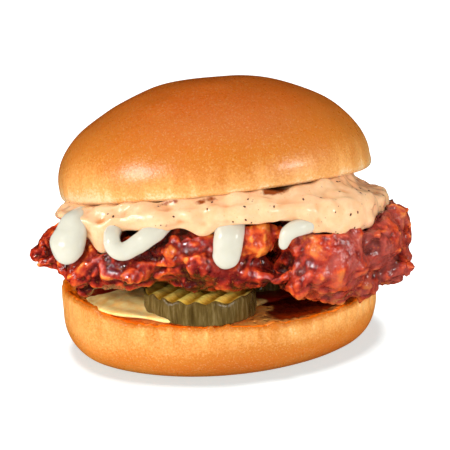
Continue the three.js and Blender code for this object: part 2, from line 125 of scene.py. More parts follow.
# Lumps of crust beyond the solids' own, each a middle and its reaches along x, y and z.
LOBES = {
    "chicken_left": [
        (13.2, -45.2, 43.6, 5.2, 4.4, 6.2), (-56, -23, 35.4, 2.8, 3.0, 2.6),
        (-53, -23, 33.4, 3.0, 3.2, 2.8), (-49.5, -24, 32.5, 3.0, 3.4, 2.6),
        (-55.6, -22, 42.4, 2.6, 2.8, 2.6), (-42.6, -35, 29.2, 3.2, 3.0, 2.6),
    ],
    "chicken_right": [
        (44.6, -31.6, 18.8, 1.3, 1.1, 2.3), (55.6, -26, 25.8, 3.0, 3.6, 2.8),
        (57.4, -14, 44.4, 3.4, 4.0, 2.8), (61.6, -14, 43, 3.4, 4.0, 3.2),
        (62.8, -12, 33.8, 2.6, 3.4, 2.8), (62.2, -14, 27.4, 2.6, 3.4, 2.6),
        (59.2, -16, 20.8, 2.4, 3.0, 2.4), (49.4, -30.5, 36.2, 4.2, 3.4, 4.2),
    ],
}

# How much higher than its plane the heel's cut face stands at the rim.
RIM_LIFT = [
    (-180, 1.3), (-163, 1.4), (-149, 1.9), (-139, 1.3), (-131, -0.3), (-124, -0.6),
    (-105, -0.4), (-85, 0), (-60, 0.2), (-50, 0.8), (-42, 1.6), (-33, 2.0), (-22, 2.0),
    (-8, 1.0), (8, 0.3), (30, 0), (150, 0), (180, 1.3),
]

# How far the spiced sauce hangs below the crown's cut face, from one direction to the next.
LIP_DROOP = [
    (-180, 8.5), (-168, 6), (-158, 3.4), (-149, 3.2), (-143, 4.5),
    (-137, 9), (-131, 14.4), (-125, 9), (-110, 8),
    (-103, 9), (-95, 11.5), (-88, 9.8), (-74, 9.8), (-67, 11), (-58, 15.2), (-46, 18.2),
    (-31, 16.4), (-12, 17), (8, 14), (26, 9.5), (44, 11.5), (60, 12), (78, 9), (96, 10.6),
    (118, 8.6), (138, 11.6), (158, 8.8), (180, 8.5),
]

# Humps on the spiced sauce's reach and on the spread's: direction, width and height of each.
LIP_ROUND = 51
LIP_HUMPS = [
    (-54, 22, 9.5), (-12, 26, 6.2), (-136, 28, 5.8), (-88, 16, 1.8), (45, 20, 1.2),
    (130, 24, 1.6), (-139, 11, 3.0), (-155, 12, 1.6), (-38, 12, 1.6),
]
SPREAD_ROUND = 36
SPREAD_HUMPS = [(-133, 38, 16.3), (-106, 12, 6.0), (100, 40, 9), (170, 18, 6), (-40, 38, -7)]


# ---- colours -------------------------------------------------------------------------------
def paint(red, green, blue):
    """A colour given as screen values from 0 to 255, as the linear light that shaders take."""
    shares = np.array([red, green, blue]) / 255
    dark = shares / 12.92
    light = ((shares + 0.055) / 1.055) ** 2.4
    return tuple(float(v) for v in np.where(shares <= 0.04045, dark, light))


def colour_setting(name, description, *screen):
    return FloatVectorProperty(
        name=name, description=description, subtype="COLOR", size=3,
        min=0.0, max=1.0, default=paint(*screen),
    )


def length_setting(name, description, default):
    return FloatProperty(
        name=name, description=description, default=default * MM, min=0.0,
        unit="LENGTH", subtype="DISTANCE", precision=5,
    )


def power_setting(name, description, default):
    return FloatProperty(name=name, description=description, default=default, min=0.0,
                         unit="POWER")


def strength_setting(name, description, default):
    return FloatProperty(name=name, description=description, default=default, min=0.0, max=5.0)


def count_setting(name, description, default, most):
    return IntProperty(name=name, description=description, default=default, min=0, max=most)


# ---- random fields -------------------------------------------------------------------------
CELL_FACTORS = (73856093, 19349663, 83492791)
SEED_FACTOR = 2654435761
MIX_FACTOR = 0x45D9F3B
LOW_BITS = 0xFFFFFFFF
LAYER_SHIFT = 11.7                  # keeps the layers' lattices from lining up
AXIS_SEED = 7
OWNER_SEED = 91
FAR = 9.0                           # further than any pebble's middle can be, in grains


def scramble(cells, seed):
    """Even random shares from 0 to 1, by multiplying whole-number cells and mixing their bits."""
    x, y, z = (cells[..., axis].astype(np.int64) * CELL_FACTORS[axis] for axis in range(3))
    mixed = (x ^ y ^ z ^ seed * SEED_FACTOR) & LOW_BITS
    for _ in range(2):
        mixed = ((mixed ^ (mixed >> 16)) * MIX_FACTOR) & LOW_BITS
    return (mixed ^ (mixed >> 16)) / LOW_BITS


def swell(points, grain, seed, layers=1):
    """Soft random swelling from -1 to 1: corner shares of a cube lattice blended by a fade, and
    further layers of half the grain and half the height added."""
    total = np.zeros(len(points))
    for layer in range(layers):
        spots = points / grain * 2 ** layer + LAYER_SHIFT * layer
        cell = np.floor(spots)
        part = spots - cell
        fade = part ** 3 * (part * (part * 6 - 15) + 10)
        blended = np.zeros(len(points))
        for corner in itertools.product((0, 1), repeat=3):
            share = np.where(corner, fade, 1 - fade).prod(axis=1)
            blended += share * scramble(cell + corner, seed + layer)
        total += (2 * blended - 1) / 2 ** layer
    return total


def pebbles(points, grain, seed):
    """Distances to the nearest and the second nearest of the random points, one in each cube of
    a lattice, as shares of the grain, and an even random share that the nearest one owns."""
    spots = points / grain
    cell = np.floor(spots)
    nearest = np.full(len(points), FAR)
    second = nearest
    owner = np.zeros(len(points))
    for step in itertools.product((-1, 0, 1), repeat=3):
        near = cell + step
        shares = [scramble(near, seed + AXIS_SEED * axis) for axis in range(3)]
        middle = near + np.stack(shares, axis=1)
        gap = np.linalg.norm(middle - spots, axis=1)
        owner = np.where(gap < nearest, scramble(near, seed + OWNER_SEED), owner)
        second = np.minimum(second, np.maximum(nearest, gap))
        nearest = np.minimum(nearest, gap)
    return nearest, second, owner


# ---- shares and outlines -------------------------------------------------------------------
def climb(value, start, length):
    """Share from 0 to 1 of the way that a value has gone from the start along a length; a
    negative length leads downwards."""
    return np.clip((value - start) / length, 0, 1)


def bell(value, middle, width):
    """A bell of height 1 about its middle."""
    return np.exp(-((value - middle) / width) ** 2)


def blob(points, middle, reach):
    """A soft blob of height 1 about a point; its reach is one length, or one for each axis."""
    return np.exp(-((points - middle) ** 2 / np.square(reach)).sum(axis=1))


def compass(count):
    """Directions at equal steps all round."""
    return np.arange(count) / count * TURN


def spun(reach, angle):
    """The x and y of points at a reach from the axis, each in its direction."""
    return reach * np.cos(angle), reach * np.sin(angle)


def hump(angle, towards, width):
    """A hump of height 1 round one direction of the compass: a bell of the angle between."""
    apart = (angle - math.radians(towards) + math.pi) % TURN - math.pi
    return bell(apart, 0, math.radians(width))


def humped(angle, reach, humps):
    """A round of this reach with humps on it."""
    return sum((height * hump(angle, towards, width) for towards, width, height in humps), reach)


def eased(knots, angle):
    """A number that follows the compass: eased from each knot, a direction in degrees and a
    value, to the next one."""
    towards, values = np.array(knots, float).T
    place = np.interp(np.degrees(angle), towards, np.arange(len(towards)), period=360)
    start = np.floor(place)
    part = place - start
    return np.interp(start + part * part * (3 - 2 * part), np.arange(len(towards)), values)


def bun_outline(angle):
    """Share of the radius, from three slow waves round the bun."""
    return (1 + 0.006 * np.sin(2 * angle + 0.6) + 0.005 * np.sin(3 * angle + 2)
            + 0.003 * np.sin(7 * angle))


def heel_cut_height(x, y):
    """Height of the heel's cut face, a plane that falls to the right and to the back."""
    return HEEL_HEIGHT - (HEEL_FALL[0] * x + HEEL_FALL[1] * y) / BUN_RADIUS


def crown_cut_height(x, y):
    """Height of the crown's cut face, a plane that rises to the right and to the front."""
    return (CROWN_CENTRE[2] + (x - CROWN_CENTRE[0]) * math.tan(CROWN_TILT_RIGHT)
            - y * math.tan(CROWN_TILT_FRONT))


def lip_reach(angle):
    """How far the spiced sauce bulges from the crown's axis, a little wavy all round."""
    return humped(angle, LIP_ROUND, LIP_HUMPS) + 0.5 * np.sin(9 * angle + 1)


def lip_droop(angle):
    """How far the spiced sauce hangs below the crown's cut face."""
    return eased(LIP_DROOP, (angle + math.pi) % TURN - math.pi)


def heel_origin():
    """The heel's foot in the frame, in millimetres: the middle of its solid's box, less the
    middle of the outline that the box was drawn round."""
    angle = compass(HEEL_STEPS)
    spread = spun(BUN_RADIUS * bun_outline(angle), angle)
    low, high = (np.array(corner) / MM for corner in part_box("bun_heel"))
    middle = [(side.min() + side.max()) / 2 for side in spread]
    return np.array([(low[0] + high[0]) / 2 - middle[0], (low[1] + high[1]) / 2 - middle[1],
                     low[2]])


ORIGIN = heel_origin()


# ---- meshes --------------------------------------------------------------------------------
def show(mesh, name, material, slot, *nodes):
    """Puts a finished mesh in the scene, riding on the body in place of its solids."""
    piece = bpy.data.objects.new(name, mesh)
    bpy.context.scene.collection.objects.link(piece)
    mesh.materials.clear()
    mesh.materials.append(material)
    mesh.polygons.foreach_set("use_smooth", np.ones(len(mesh.polygons), bool))
    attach(piece, BODY)
    if nodes:
        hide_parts(*nodes)
    return piece


def light_group(name):
    """The collection of the pieces that one light reaches, or spares."""
    return bpy.data.collections.get(name) or bpy.data.collections.new(name)


def placed(points):
    """Points in millimetres from the heel's foot as metres in the frame."""
    return ((points + ORIGIN) * MM).astype(np.float32)


def mesh_of(name, points, faces):
    """A mesh of points in millimetres and of faces given as arrays of equal corner counts."""
    mesh = bpy.data.meshes.new(name)
    corners = np.concatenate([block.ravel() for block in faces])
    counts = np.concatenate([np.full(len(block), block.shape[1]) for block in faces])
    starts = np.concatenate([[0], np.cumsum(counts)[:-1]])
    mesh.vertices.add(len(points))
    mesh.vertices.foreach_set("co", placed(points).ravel())
    mesh.loops.add(len(corners))
    mesh.loops.foreach_set("vertex_index", corners.astype(np.int32))
    mesh.polygons.add(len(counts))
    mesh.polygons.foreach_set("loop_start", starts.astype(np.int32))
    mesh.update(calc_edges=True)
    mesh.validate()
    return mesh


def closed_faces(rows, columns):
    """Corner numbers of a closed skin: a fan round the first pole, four-cornered faces between
    rings that close on themselves, and a fan round the last pole."""
    step = np.arange(columns)
    after = (step + 1) % columns
    first = 1 + columns * np.arange(rows - 1)[:, None]
    walls = np.stack([first + step, first + after, first + columns + after,
                      first + columns + step], axis=-1).reshape(-1, 4)
    last_ring = 1 + columns * (rows - 1)
    last = 1 + columns * rows
    bottom = np.stack([np.zeros(columns, int), 1 + after, 1 + step], axis=1)
    top = np.stack([last_ring + step, last_ring + after, np.full(columns, last)], axis=1)
    return [walls, np.concatenate([bottom, top])]


def closed_skin(name, grid, first_pole, last_pole):
    """A closed mesh of a grid of rings, rows by columns by three, and its two poles."""
    rows, columns = grid.shape[:2]
    points = np.concatenate([[first_pole], grid.reshape(-1, 3), [last_pole]])
    return mesh_of(name, points, closed_faces(rows, columns))


def read_rows(items, key, width, kind=np.float32):
    """One property of many items, as rows of this many numbers."""
    flat = np.empty(len(items) * width, kind)
    items.foreach_get(key, flat)
    return flat.reshape(-1, width)


def read_points(mesh):
    """Points in millimetres from the heel's foot, and their normals."""
    places = read_rows(mesh.vertices, "co", 3).astype(float)
    return places / MM - ORIGIN, read_rows(mesh.vertices, "normal", 3).astype(float)


def write_points(mesh, points):
    mesh.vertices.foreach_set("co", placed(points).ravel())
    mesh.update()


def read_edges(mesh):
    return read_rows(mesh.edges, "vertices", 2, np.int32)


def read_triangles(mesh):
    mesh.calc_loop_triangles()
    return read_rows(mesh.loop_triangles, "vertices", 3, np.int32)


def write_shade(mesh, name, values):
    """Keeps one number for each point, which the piece's material reads by name."""
    layer = mesh.attributes.new(name, "FLOAT", "POINT")
    layer.data.foreach_set("value", np.asarray(values, np.float32))


def with_poles(shape, pole, values):
    """One number for each point of a closed skin, from one for each ring or grid point."""
    spread = np.broadcast_to(values, shape).ravel()
    return np.concatenate([[pole], spread, [pole]])


def unit_length(vectors):
    return vectors / np.linalg.norm(vectors, axis=1)[:, None]


def relaxed(points, edges, rounds):
    """Each point moves half of the way to the mean of its neighbours, some rounds over."""
    count = len(points)
    ends = np.concatenate([edges, edges[:, ::-1]])
    shares = np.bincount(ends[:, 0], minlength=count)[:, None]
    for _ in range(rounds):
        sums = [np.bincount(ends[:, 0], points[ends[:, 1], axis], count) for axis in range(3)]
        mean = np.stack(sums, axis=1) / np.maximum(shares, 1)
        points = points + 0.5 * (mean - points)
    return points


def smooth_path(knots, count):
    """Points along a smooth curve through the knots: each span is a cubic whose slope at a knot
    is half the step between its neighbours."""
    knots = np.array(knots, float)
    padded = np.concatenate([[2 * knots[0] - knots[1]], knots, [2 * knots[-1] - knots[-2]]])
    reach = np.linspace(0, len(knots) - 1, count)
    span = np.minimum(reach.astype(int), len(knots) - 2)
    t = (reach - span)[:, None]
    before, start, end, after = (padded[span + k] for k in range(4))
    return 0.5 * (2 * start + (end - before) * t
                  + (2 * before - 5 * start + 4 * end - after) * t ** 2
                  + (3 * start - before - 3 * end + after) * t ** 3)


def even_path(knots, count):
    """The same curve with its points at equal distances along it."""
    fine = smooth_path(knots, 40 * len(knots))
    along = np.concatenate([[0], np.cumsum(np.linalg.norm(np.diff(fine, axis=0), axis=1))])
    wanted = np.linspace(0, along[-1], count)
    return np.stack([np.interp(wanted, along, fine[:, axis]) for axis in range(fine.shape[1])],
                    axis=1)


def egg(rows, columns):
    """A unit ball of rings of equal slope between two poles."""
    slope = (np.arange(1, rows + 1) / (rows + 1) - 0.5) * math.pi
    ring = np.stack(spun(1, compass(columns)), axis=1)
    flat = np.cos(slope)[:, None, None] * ring
    level = np.broadcast_to(np.sin(slope)[:, None, None], (rows, columns, 1))
    grid = np.concatenate([flat, level], axis=2).reshape(-1, 3)
    return np.concatenate([[(0, 0, -1)], grid, [(0, 0, 1)]]), closed_faces(rows, columns)


def scattered(name, shape, centres, normals, sizes, chance):
    """Copies of one small shape: each is scaled by its three sizes, spun by chance round its
    normal, stood on that normal and moved to its centre."""
    unit, faces = shape
    count = len(centres)
    lean = unit_length(np.cross(normals, chance.normal(size=(count, 3))))
    axes = np.stack([lean, np.cross(normals, lean), normals], axis=1)
    points = centres[:, None] + np.einsum("nki,nij->nkj", unit[None] * sizes[:, None], axes)
    offsets = (np.arange(count) * len(unit))[:, None, None]
    blocks = [(block[None] + offsets).reshape(-1, block.shape[1]) for block in faces]
    return mesh_of(name, points.reshape(-1, 3), blocks)


def spots_on(mesh, count, chance):
    """Random places spread evenly over a mesh, with the normals there: a face is drawn by its
    area and a place by its corners' shares."""
    points, _ = read_points(mesh)
    a, b, c = (points[corner] for corner in read_triangles(mesh).T)
    across = np.cross(b - a, c - a)
    area = np.linalg.norm(across, axis=1)
    drawn = chance.choice(len(area), size=count, p=area / area.sum())
    u = np.sqrt(chance.random(count))[:, None]
    v = chance.random(count)[:, None]
    places = a[drawn] * (1 - u) + b[drawn] * u * (1 - v) + c[drawn] * u * v
    return places, across[drawn] / area[drawn][:, None]


# ---- materials -----------------------------------------------------------------------------
class Finish:
    """One procedural material, put together node by node round its surface shader."""

    def __init__(self, name):
        self.material = bpy.data.materials.new(name)
        self.material.use_nodes = True
        self.tree = self.material.node_tree
        self.shader = self.tree.nodes["Principled BSDF"]
        self.place = self.add("ShaderNodeTexCoord").outputs["Object"]

    def add(self, kind, **settings):
        node = self.tree.nodes.new(kind)
        for key, value in settings.items():
            setattr(node, key, value)
        return node

    def feed(self, socket, value):
        if isinstance(value, bpy.types.NodeSocket):
            self.tree.links.new(value, socket)
        elif hasattr(value, "__len__") and len(socket.default_value) == len(value) + 1:
            socket.default_value = (*value, 1)
        else:
            socket.default_value = value

    def shade(self, name):
        """The number that the piece keeps for each point under this name."""
        return self.add("ShaderNodeAttribute", attribute_name=name).outputs["Fac"]

    def stretched(self, x, y, z):
        """The piece's own coordinates, drawn out along its axes."""
        node = self.add("ShaderNodeMapping")
        self.feed(node.inputs["Vector"], self.place)
        node.inputs["Scale"].default_value = (x, y, z)
        return node.outputs["Vector"]

    def grain(self, size, detail=3.0, roughness=0.55, place=None):
        """Soft cloudy noise from 0 to 1 whose blotches are about this many millimetres."""
        node = self.add("ShaderNodeTexNoise")
        self.feed(node.inputs["Vector"], place or self.place)
        node.inputs["Scale"].default_value = 1 / (size * MM)
        node.inputs["Detail"].default_value = detail
        node.inputs["Roughness"].default_value = roughness
        return node.outputs["Fac"]

    def cells(self, size, feature="F1", smoothness=None):
        """Distance from the nearest of evenly strewn points, this many millimetres apart."""
        node = self.add("ShaderNodeTexVoronoi", feature=feature)
        self.feed(node.inputs["Vector"], self.place)
        node.inputs["Scale"].default_value = 1 / (size * MM)
        if smoothness is not None:
            node.inputs["Smoothness"].default_value = smoothness
        return node.outputs["Distance"]

    def span(self, value, low, high, to_low=0.0, to_high=1.0):
        """A number's share between two bounds, eased and kept inside them."""
        node = self.add("ShaderNodeMapRange", interpolation_type="SMOOTHSTEP")
        self.feed(node.inputs["Value"], value)
        for key, bound in zip(("From Min", "From Max", "To Min", "To Max"),
                              (low, high, to_low, to_high)):
            node.inputs[key].default_value = bound
        return node.outputs["Result"]

    def reckon(self, operation, first, second):
        node = self.add("ShaderNodeMath", operation=operation)
        self.feed(node.inputs[0], first)
        self.feed(node.inputs[1], second)
        return node.outputs["Value"]

    def plus(self, first, second):
        return self.reckon("ADD", first, second)

    def times(self, first, second):
        return self.reckon("MULTIPLY", first, second)

    def swing(self, noise, height):
        """Noise from 0 to 1 moved to lie evenly about nothing, this high from foot to top."""
        return self.times(self.reckon("SUBTRACT", noise, 0.5), height)

    def clouded(self, name, height, *grain):
        """The number kept under this name with cloudy noise of this height on it."""
        return self.plus(self.shade(name), self.swing(self.grain(*grain), height))

    def mix(self, share, first, second):
        """From the first colour to the second one as the share goes from 0 to 1."""
        node = self.add("ShaderNodeMix", data_type="RGBA")
        self.feed(node.inputs[0], share)
        self.feed(node.inputs[6], first)
        self.feed(node.inputs[7], second)
        return node.outputs[2]

    def ramp(self, share, stops):
        """A colour that runs through the stops, each a share and a colour."""
        node = self.add("ShaderNodeValToRGB")
        self.feed(node.inputs["Fac"], share)
        elements = node.color_ramp.elements
        while len(elements) < len(stops):
            elements.new(0.5)
        for element, (at, colour) in zip(elements, stops):
            element.position = at
            element.color = (*colour, 1)
        return node.outputs["Color"]

    def bump(self, height, depth, over=None):
        """Fine relief, this many millimetres deep where the height runs from 0 to 1."""
        node = self.add("ShaderNodeBump")
        node.inputs["Strength"].default_value = 1
        node.inputs["Distance"].default_value = depth * MM
        self.feed(node.inputs["Height"], height)
        if over is not None:
            self.feed(node.inputs["Normal"], over)
        return node.outputs["Normal"]

    def done(self, **sockets):
        """Sets or links the surface shader's inputs, named with underscores, and returns the
        material."""
        for key, value in sockets.items():
            self.feed(self.shader.inputs[key.replace("_", " ")], value)
        return self.material


# How far red, green and blue light travel under a surface, as shares of one length.
FLESH_REACH = (1.0, 0.35, 0.15)
CREAM_REACH = (1.0, 0.8, 0.5)
PICKLE_REACH = (0.8, 1.0, 0.3)


def lit_through(weight, reach, length):
    """The shader's inputs for light that travels this many millimetres under a surface."""
    return {"Subsurface_Weight": weight, "Subsurface_Radius": reach,
            "Subsurface_Scale": length * MM}


def crust_finish(name, settings):
    """Baked crust: its colour follows how browned each place is, clouded and finely pored."""
    finish = Finish(name)
    clouds = finish.swing(finish.grain(14, 4), 0.34)
    crumbs = finish.swing(finish.grain(0.75, 3, 0.65), 0.62)
    browned = finish.plus(finish.shade("browned"), finish.plus(clouds, crumbs))
    colour = finish.ramp(browned, [
        (0.0, settings.pale), (0.22, settings.light), (0.55, settings.golden),
        (1.0, settings.brown),
    ])
    speck = finish.span(finish.grain(0.5, 1, 0.5), 0.56, 0.70)
    colour = finish.mix(finish.times(speck, 0.16), colour, settings.pale)
    pores = finish.span(finish.cells(1.5), 0.0, 0.36)
    normal = finish.bump(finish.plus(finish.times(pores, 0.3), finish.grain(1.1, 2, 0.6)), 0.16)
    roughness = finish.span(finish.grain(2.2, 3), 0.3, 0.7, settings.gloss_low,
                            settings.gloss_high)
    return finish, colour, normal, roughness


def make_crown_finish(settings):
    finish, colour, normal, roughness = crust_finish("egg_washed_crust", settings)
    return finish.done(
        Base_Color=colour, Roughness=roughness, Normal=normal,
        **lit_through(0.06, FLESH_REACH, 2),
        Specular_IOR_Level=0.5, Coat_Weight=0.5, Coat_Roughness=0.25,
    )


def make_heel_finish(settings):
    """The heel's crust, and over it the toasted rim and the cut face, soaked with glaze at the
    right and painted with shade under the chicken, darker inward from the rim.
    """
    finish, colour, normal, roughness = crust_finish("heel_crust", settings)
    toasted = finish.clouded("toasted", 0.5, 1.6, 4, 0.7)
    face = finish.ramp(toasted, [
        (0.0, settings.cut_face), (0.42, settings.toasted), (1.0, settings.singed),
    ])
    # Painted shade: the soaked colour also covers the cut face under the chicken, and is painted
    # darker inward from the rim.
    soak = finish.span(finish.clouded("soaked", 0.9, 5, 4), 0.35, 0.75)
    glazed = finish.mix(finish.clouded("thin", 0.9, 4, 3), settings.soaked_dark,
                        settings.soaked_light)
    edge = finish.span(finish.shade("cut"), 0.3, 0.7)
    colour = finish.mix(edge, colour, finish.mix(soak, face, glazed))
    holes = finish.span(finish.cells(2.3), 0.05, 0.5)
    dry_face = finish.times(edge, finish.reckon("SUBTRACT", 1.0, soak))
    normal = finish.bump(finish.times(holes, dry_face), 0.5, over=normal)
    return finish.done(
        Base_Color=colour, Roughness=roughness, Normal=normal,
        **lit_through(0.08, FLESH_REACH, 2),
        Specular_IOR_Level=0.2, Coat_Weight=finish.times(soak, edge), Coat_Roughness=0.08,
        Coat_Normal=finish.bump(finish.grain(2.6, 2, 0.5), 0.4),
    )


def make_chicken_finish(settings):
    """Glazed crust: painted shade near black down in the creases, red between, orange on the
    crags, with cooler plum patches where the glaze is thick, a paler painted sheen on the right
    piece and pale flecks of crisp crust."""
    finish = Finish("glazed_crust")
    height = finish.clouded("crag", 0.6, 2.4, 3)
    height = finish.plus(height, finish.swing(finish.shade("batter"), 0.5))
    height = finish.plus(height, finish.swing(finish.grain(12, 2, 0.5), 0.9))
    # Painted shade: the lower a point stands among the crags, the darker it is painted, near black
    # down in the creases.
    colour = finish.ramp(height, [
        (0.0, settings.crease), (0.2, settings.deep), (0.5, settings.red),
        (0.78, settings.orange), (1.0, settings.amber),
    ])
    # Painted sheen: a paler rose painted over the right piece.
    milky = finish.times(finish.shade("thick"), finish.span(finish.grain(5, 3), 0.3, 0.7))
    patches = [
        (finish.span(finish.grain(6, 3), 0.48, 0.64), 0.4, settings.plum),
        (milky, 0.85, settings.rose),
        (finish.span(finish.grain(0.8, 2, 0.5), 0.60, 0.72), 0.22, settings.amber),
        (finish.span(finish.grain(0.9, 2, 0.5, finish.stretched(1.2, 1.1, 0.9)), 0.66, 0.76),
         0.35, settings.crease),
    ]
    for share, most, tone in patches:
        colour = finish.mix(finish.times(share, most), colour, tone)
    knobs = finish.cells(1.3, feature="SMOOTH_F1", smoothness=0.5)
    crumbs = finish.reckon("SUBTRACT", finish.grain(1.3, 3, 0.6), knobs)
    return finish.done(
        Base_Color=colour, Roughness=finish.span(finish.grain(2.4, 3), 0.3, 0.7, 0.24, 0.4),
        Normal=finish.bump(crumbs, 0.28), Specular_IOR_Level=0.25,
        Coat_Weight=1.0, Coat_Roughness=0.06,
        Coat_Normal=finish.bump(finish.grain(1.6, 3, 0.5), 0.42),
    )


def make_spiced_finish(settings):
    """Peach mayonnaise, with painted shade where it folds in, oil and painted shadow under the
    crown, and red spice.
    """
    finish = Finish("spiced_mayonnaise")
    cloud = finish.span(finish.grain(5, 4, 0.6), 0.35, 0.75)
    colour = finish.mix(cloud, settings.spiced, settings.spiced_pale)
    # Painted shade: hollows of the folds are painted darker.
    fold = finish.span(finish.shade("fold"), 0.35, 0.9)
    colour = finish.mix(fold, colour, settings.spiced_deep)
    # Painted shadow: the oil colour also paints the shadow along the crown's rim.
    oil = finish.span(finish.clouded("oil", 0.8, 2, 3), 0.4, 0.8)
    colour = finish.mix(oil, colour, settings.oil)
    dust = finish.span(finish.grain(0.6, 2, 0.5), 0.66, 0.76)
    colour = finish.mix(finish.times(dust, 0.5), colour, settings.spice)
    return finish.done(
        Base_Color=colour, Roughness=0.26, Normal=finish.bump(finish.grain(2.2, 2, 0.5), 0.15),
        **lit_through(0.25, FLESH_REACH, 3),
        Coat_Weight=0.3, Coat_Roughness=0.1,
    )


def make_white_finish(settings):
    finish = Finish("white_mayonnaise")
    colour = finish.mix(finish.grain(4, 3), settings.white, settings.white_shade)
    return finish.done(
        Base_Color=colour, Roughness=0.24, Normal=finish.bump(finish.grain(2.5, 2, 0.4), 0.12),
        **lit_through(0.2, CREAM_REACH, 2),
        Coat_Weight=0.3, Coat_Roughness=0.08,
    )


def make_spread_finish(settings):
    """Cream stirred with glaze, and soaked with it where the glaze has run, and painted with glaze
    colour as shade under the chicken.
    """
    finish = Finish("pressed_spread")
    cloud = finish.span(finish.grain(4, 4, 0.6), 0.35, 0.7)
    colour = finish.mix(cloud, settings.spread, settings.spread_deep)
    # Painted shade: the soak also marks the spread under the chicken.
    soak = finish.span(finish.clouded("soaked", 0.6, 3, 3), 0.35, 0.7)
    colour = finish.mix(soak, colour, settings.glaze)
    return finish.done(
        Base_Color=colour, Roughness=0.3, Normal=finish.bump(finish.grain(2.6, 3, 0.5), 0.25),
        **lit_through(0.2, FLESH_REACH, 2),
    )


def make_pickle_finish(settings):
    """Pickled cucumber: streaked dark rind round the side, with painted light on the pale crests
    and painted shade in the olive valleys.
    """
    finish = Finish("crinkle_cut_pickle")
    # Painted light and shade: crests are painted paler and valleys darker.
    flesh = finish.ramp(finish.clouded("crest", 0.7, 1.6, 4), [
        (0.0, settings.valley), (0.5, settings.flesh), (1.0, settings.crest),
    ])
    streak = finish.grain(1.1, 3, 0.6, finish.stretched(1, 1, 0.12))
    rind = finish.ramp(streak, [
        (0.3, settings.rind_dark), (0.52, settings.rind), (0.72, settings.rind_light),
    ])
    colour = finish.mix(finish.span(finish.shade("rind"), 0.35, 0.75), flesh, rind)
    normal = finish.bump(finish.grain(1.2, 3, 0.6), 0.18)
    return finish.done(
        Base_Color=colour, Roughness=0.22, Normal=finish.bump(streak, 0.2, over=normal),
        **lit_through(0.15, PICKLE_REACH, 1.5),
        Coat_Weight=0.15, Coat_Roughness=0.08, Specular_IOR_Level=0.25,
    )


def make_pepper_finish(settings):
    finish = Finish("ground_pepper")
    tone = finish.mix(finish.grain(0.5, 2), settings.pepper, 0.45 * np.array(settings.pepper))
    return finish.done(Base_Color=tone, Roughness=0.4,
                       Normal=finish.bump(finish.grain(0.3, 2), 0.05))


# ---- bun -----------------------------------------------------------------------------------
HEEL_COLUMNS = 400
HEEL_SIDE_ROWS = 14
HEEL_LIP = 1.3                      # how far below the cut face the rim starts to roll in
RIM_BAND = (0.74, 0.2)              # share of the radius where the face lifts, and over what
HEEL_TONE = 0.81                    # browning of the heel's foot
HEEL_PALING = (4, 9)                # height where its side starts to pale, and over what
CROWN_COLUMNS = 320
CROWN_DOME_INSET = 0.5
CROWN_PEAK = CROWN_SKIRT + CROWN_RISE
# Browning of the crown's edge, with humps on it, and how much browner its top is.
CROWN_EDGE_TONE = 0.17
CROWN_EDGE_HUMPS = [(-145, 25, -0.12), (-15, 25, -0.08)]
CROWN_TOP_TONE = 0.81
CROWN_TONE_POWER = 0.62


def soaked_with_glaze(points):
    """How far glaze has run over the heel, fully at its right, and where painted shade falls
    under the chicken, behind the front strip that it leaves open."""
    x, y, _ = points.T
    at_right = (x - 8) / 14
    behind = np.minimum(y + 23.5 + 0.12 * np.abs(x + 30), x + 45) / 4
    return np.clip(np.maximum(at_right, behind) + 0.25 * swell(points, 5, 90, 2), 0, 1)


def unrolled(around, height):
    """The bun's side laid out flat, for wrinkles that run up it."""
    return np.stack([BUN_RADIUS * around, height, 0 * around], axis=1)


def rim_lift(out, angle):
    """How far the heel's cut face lifts from its plane at a share of the radius."""
    return climb(out, *RIM_BAND) * eased(RIM_LIFT, angle)


def heel_grid():
    """Rings of a turned loaf foot, each stretched by the bun's outline: flat below, a rounded
    lower corner, an upright side, a rolled rim and a cut face that lifts near the rim."""
    angle = compass(HEEL_COLUMNS)
    foot = BUN_RADIUS - HEEL_ROUNDING_OUT
    slope = np.linspace(math.pi / 2, 0, 30)
    low = [np.linspace(6, foot - 1, 8), np.zeros(8)]
    corner = [foot + HEEL_ROUNDING_OUT * np.cos(slope),
              HEEL_ROUNDING_UP * (1 - np.sin(slope) ** 0.9)]
    below = np.concatenate([low, corner], axis=1)
    knots = [(BUN_RADIUS, -HEEL_LIP), (BUN_RADIUS - 0.25, -0.55), (BUN_RADIUS - 0.95, 0)]
    face = [np.linspace(BUN_RADIUS - 1.4, 3, 44), np.zeros(44)]
    above = np.concatenate([smooth_path(knots, 9).T, face], axis=1)
    radius = np.concatenate([below[0], np.full(HEEL_SIDE_ROWS, BUN_RADIUS), above[0]])[:, None]
    x, y = spun(radius * bun_outline(angle), angle)
    cut = heel_cut_height(x, y) + rim_lift(radius / BUN_RADIUS, angle)
    under = below.shape[1]
    over = under + HEEL_SIDE_ROWS
    rise = np.linspace(0, 1, HEEL_SIDE_ROWS + 1)[1:, None]
    z = np.empty_like(x)
    z[:under] = below[1][:, None]
    z[under:over] = HEEL_ROUNDING_UP + rise * 0.97 * (cut[under] - HEEL_LIP - HEEL_ROUNDING_UP)
    z[over:] = cut[over:] + above[1][:, None]
    return np.stack([x, y, z], axis=2)


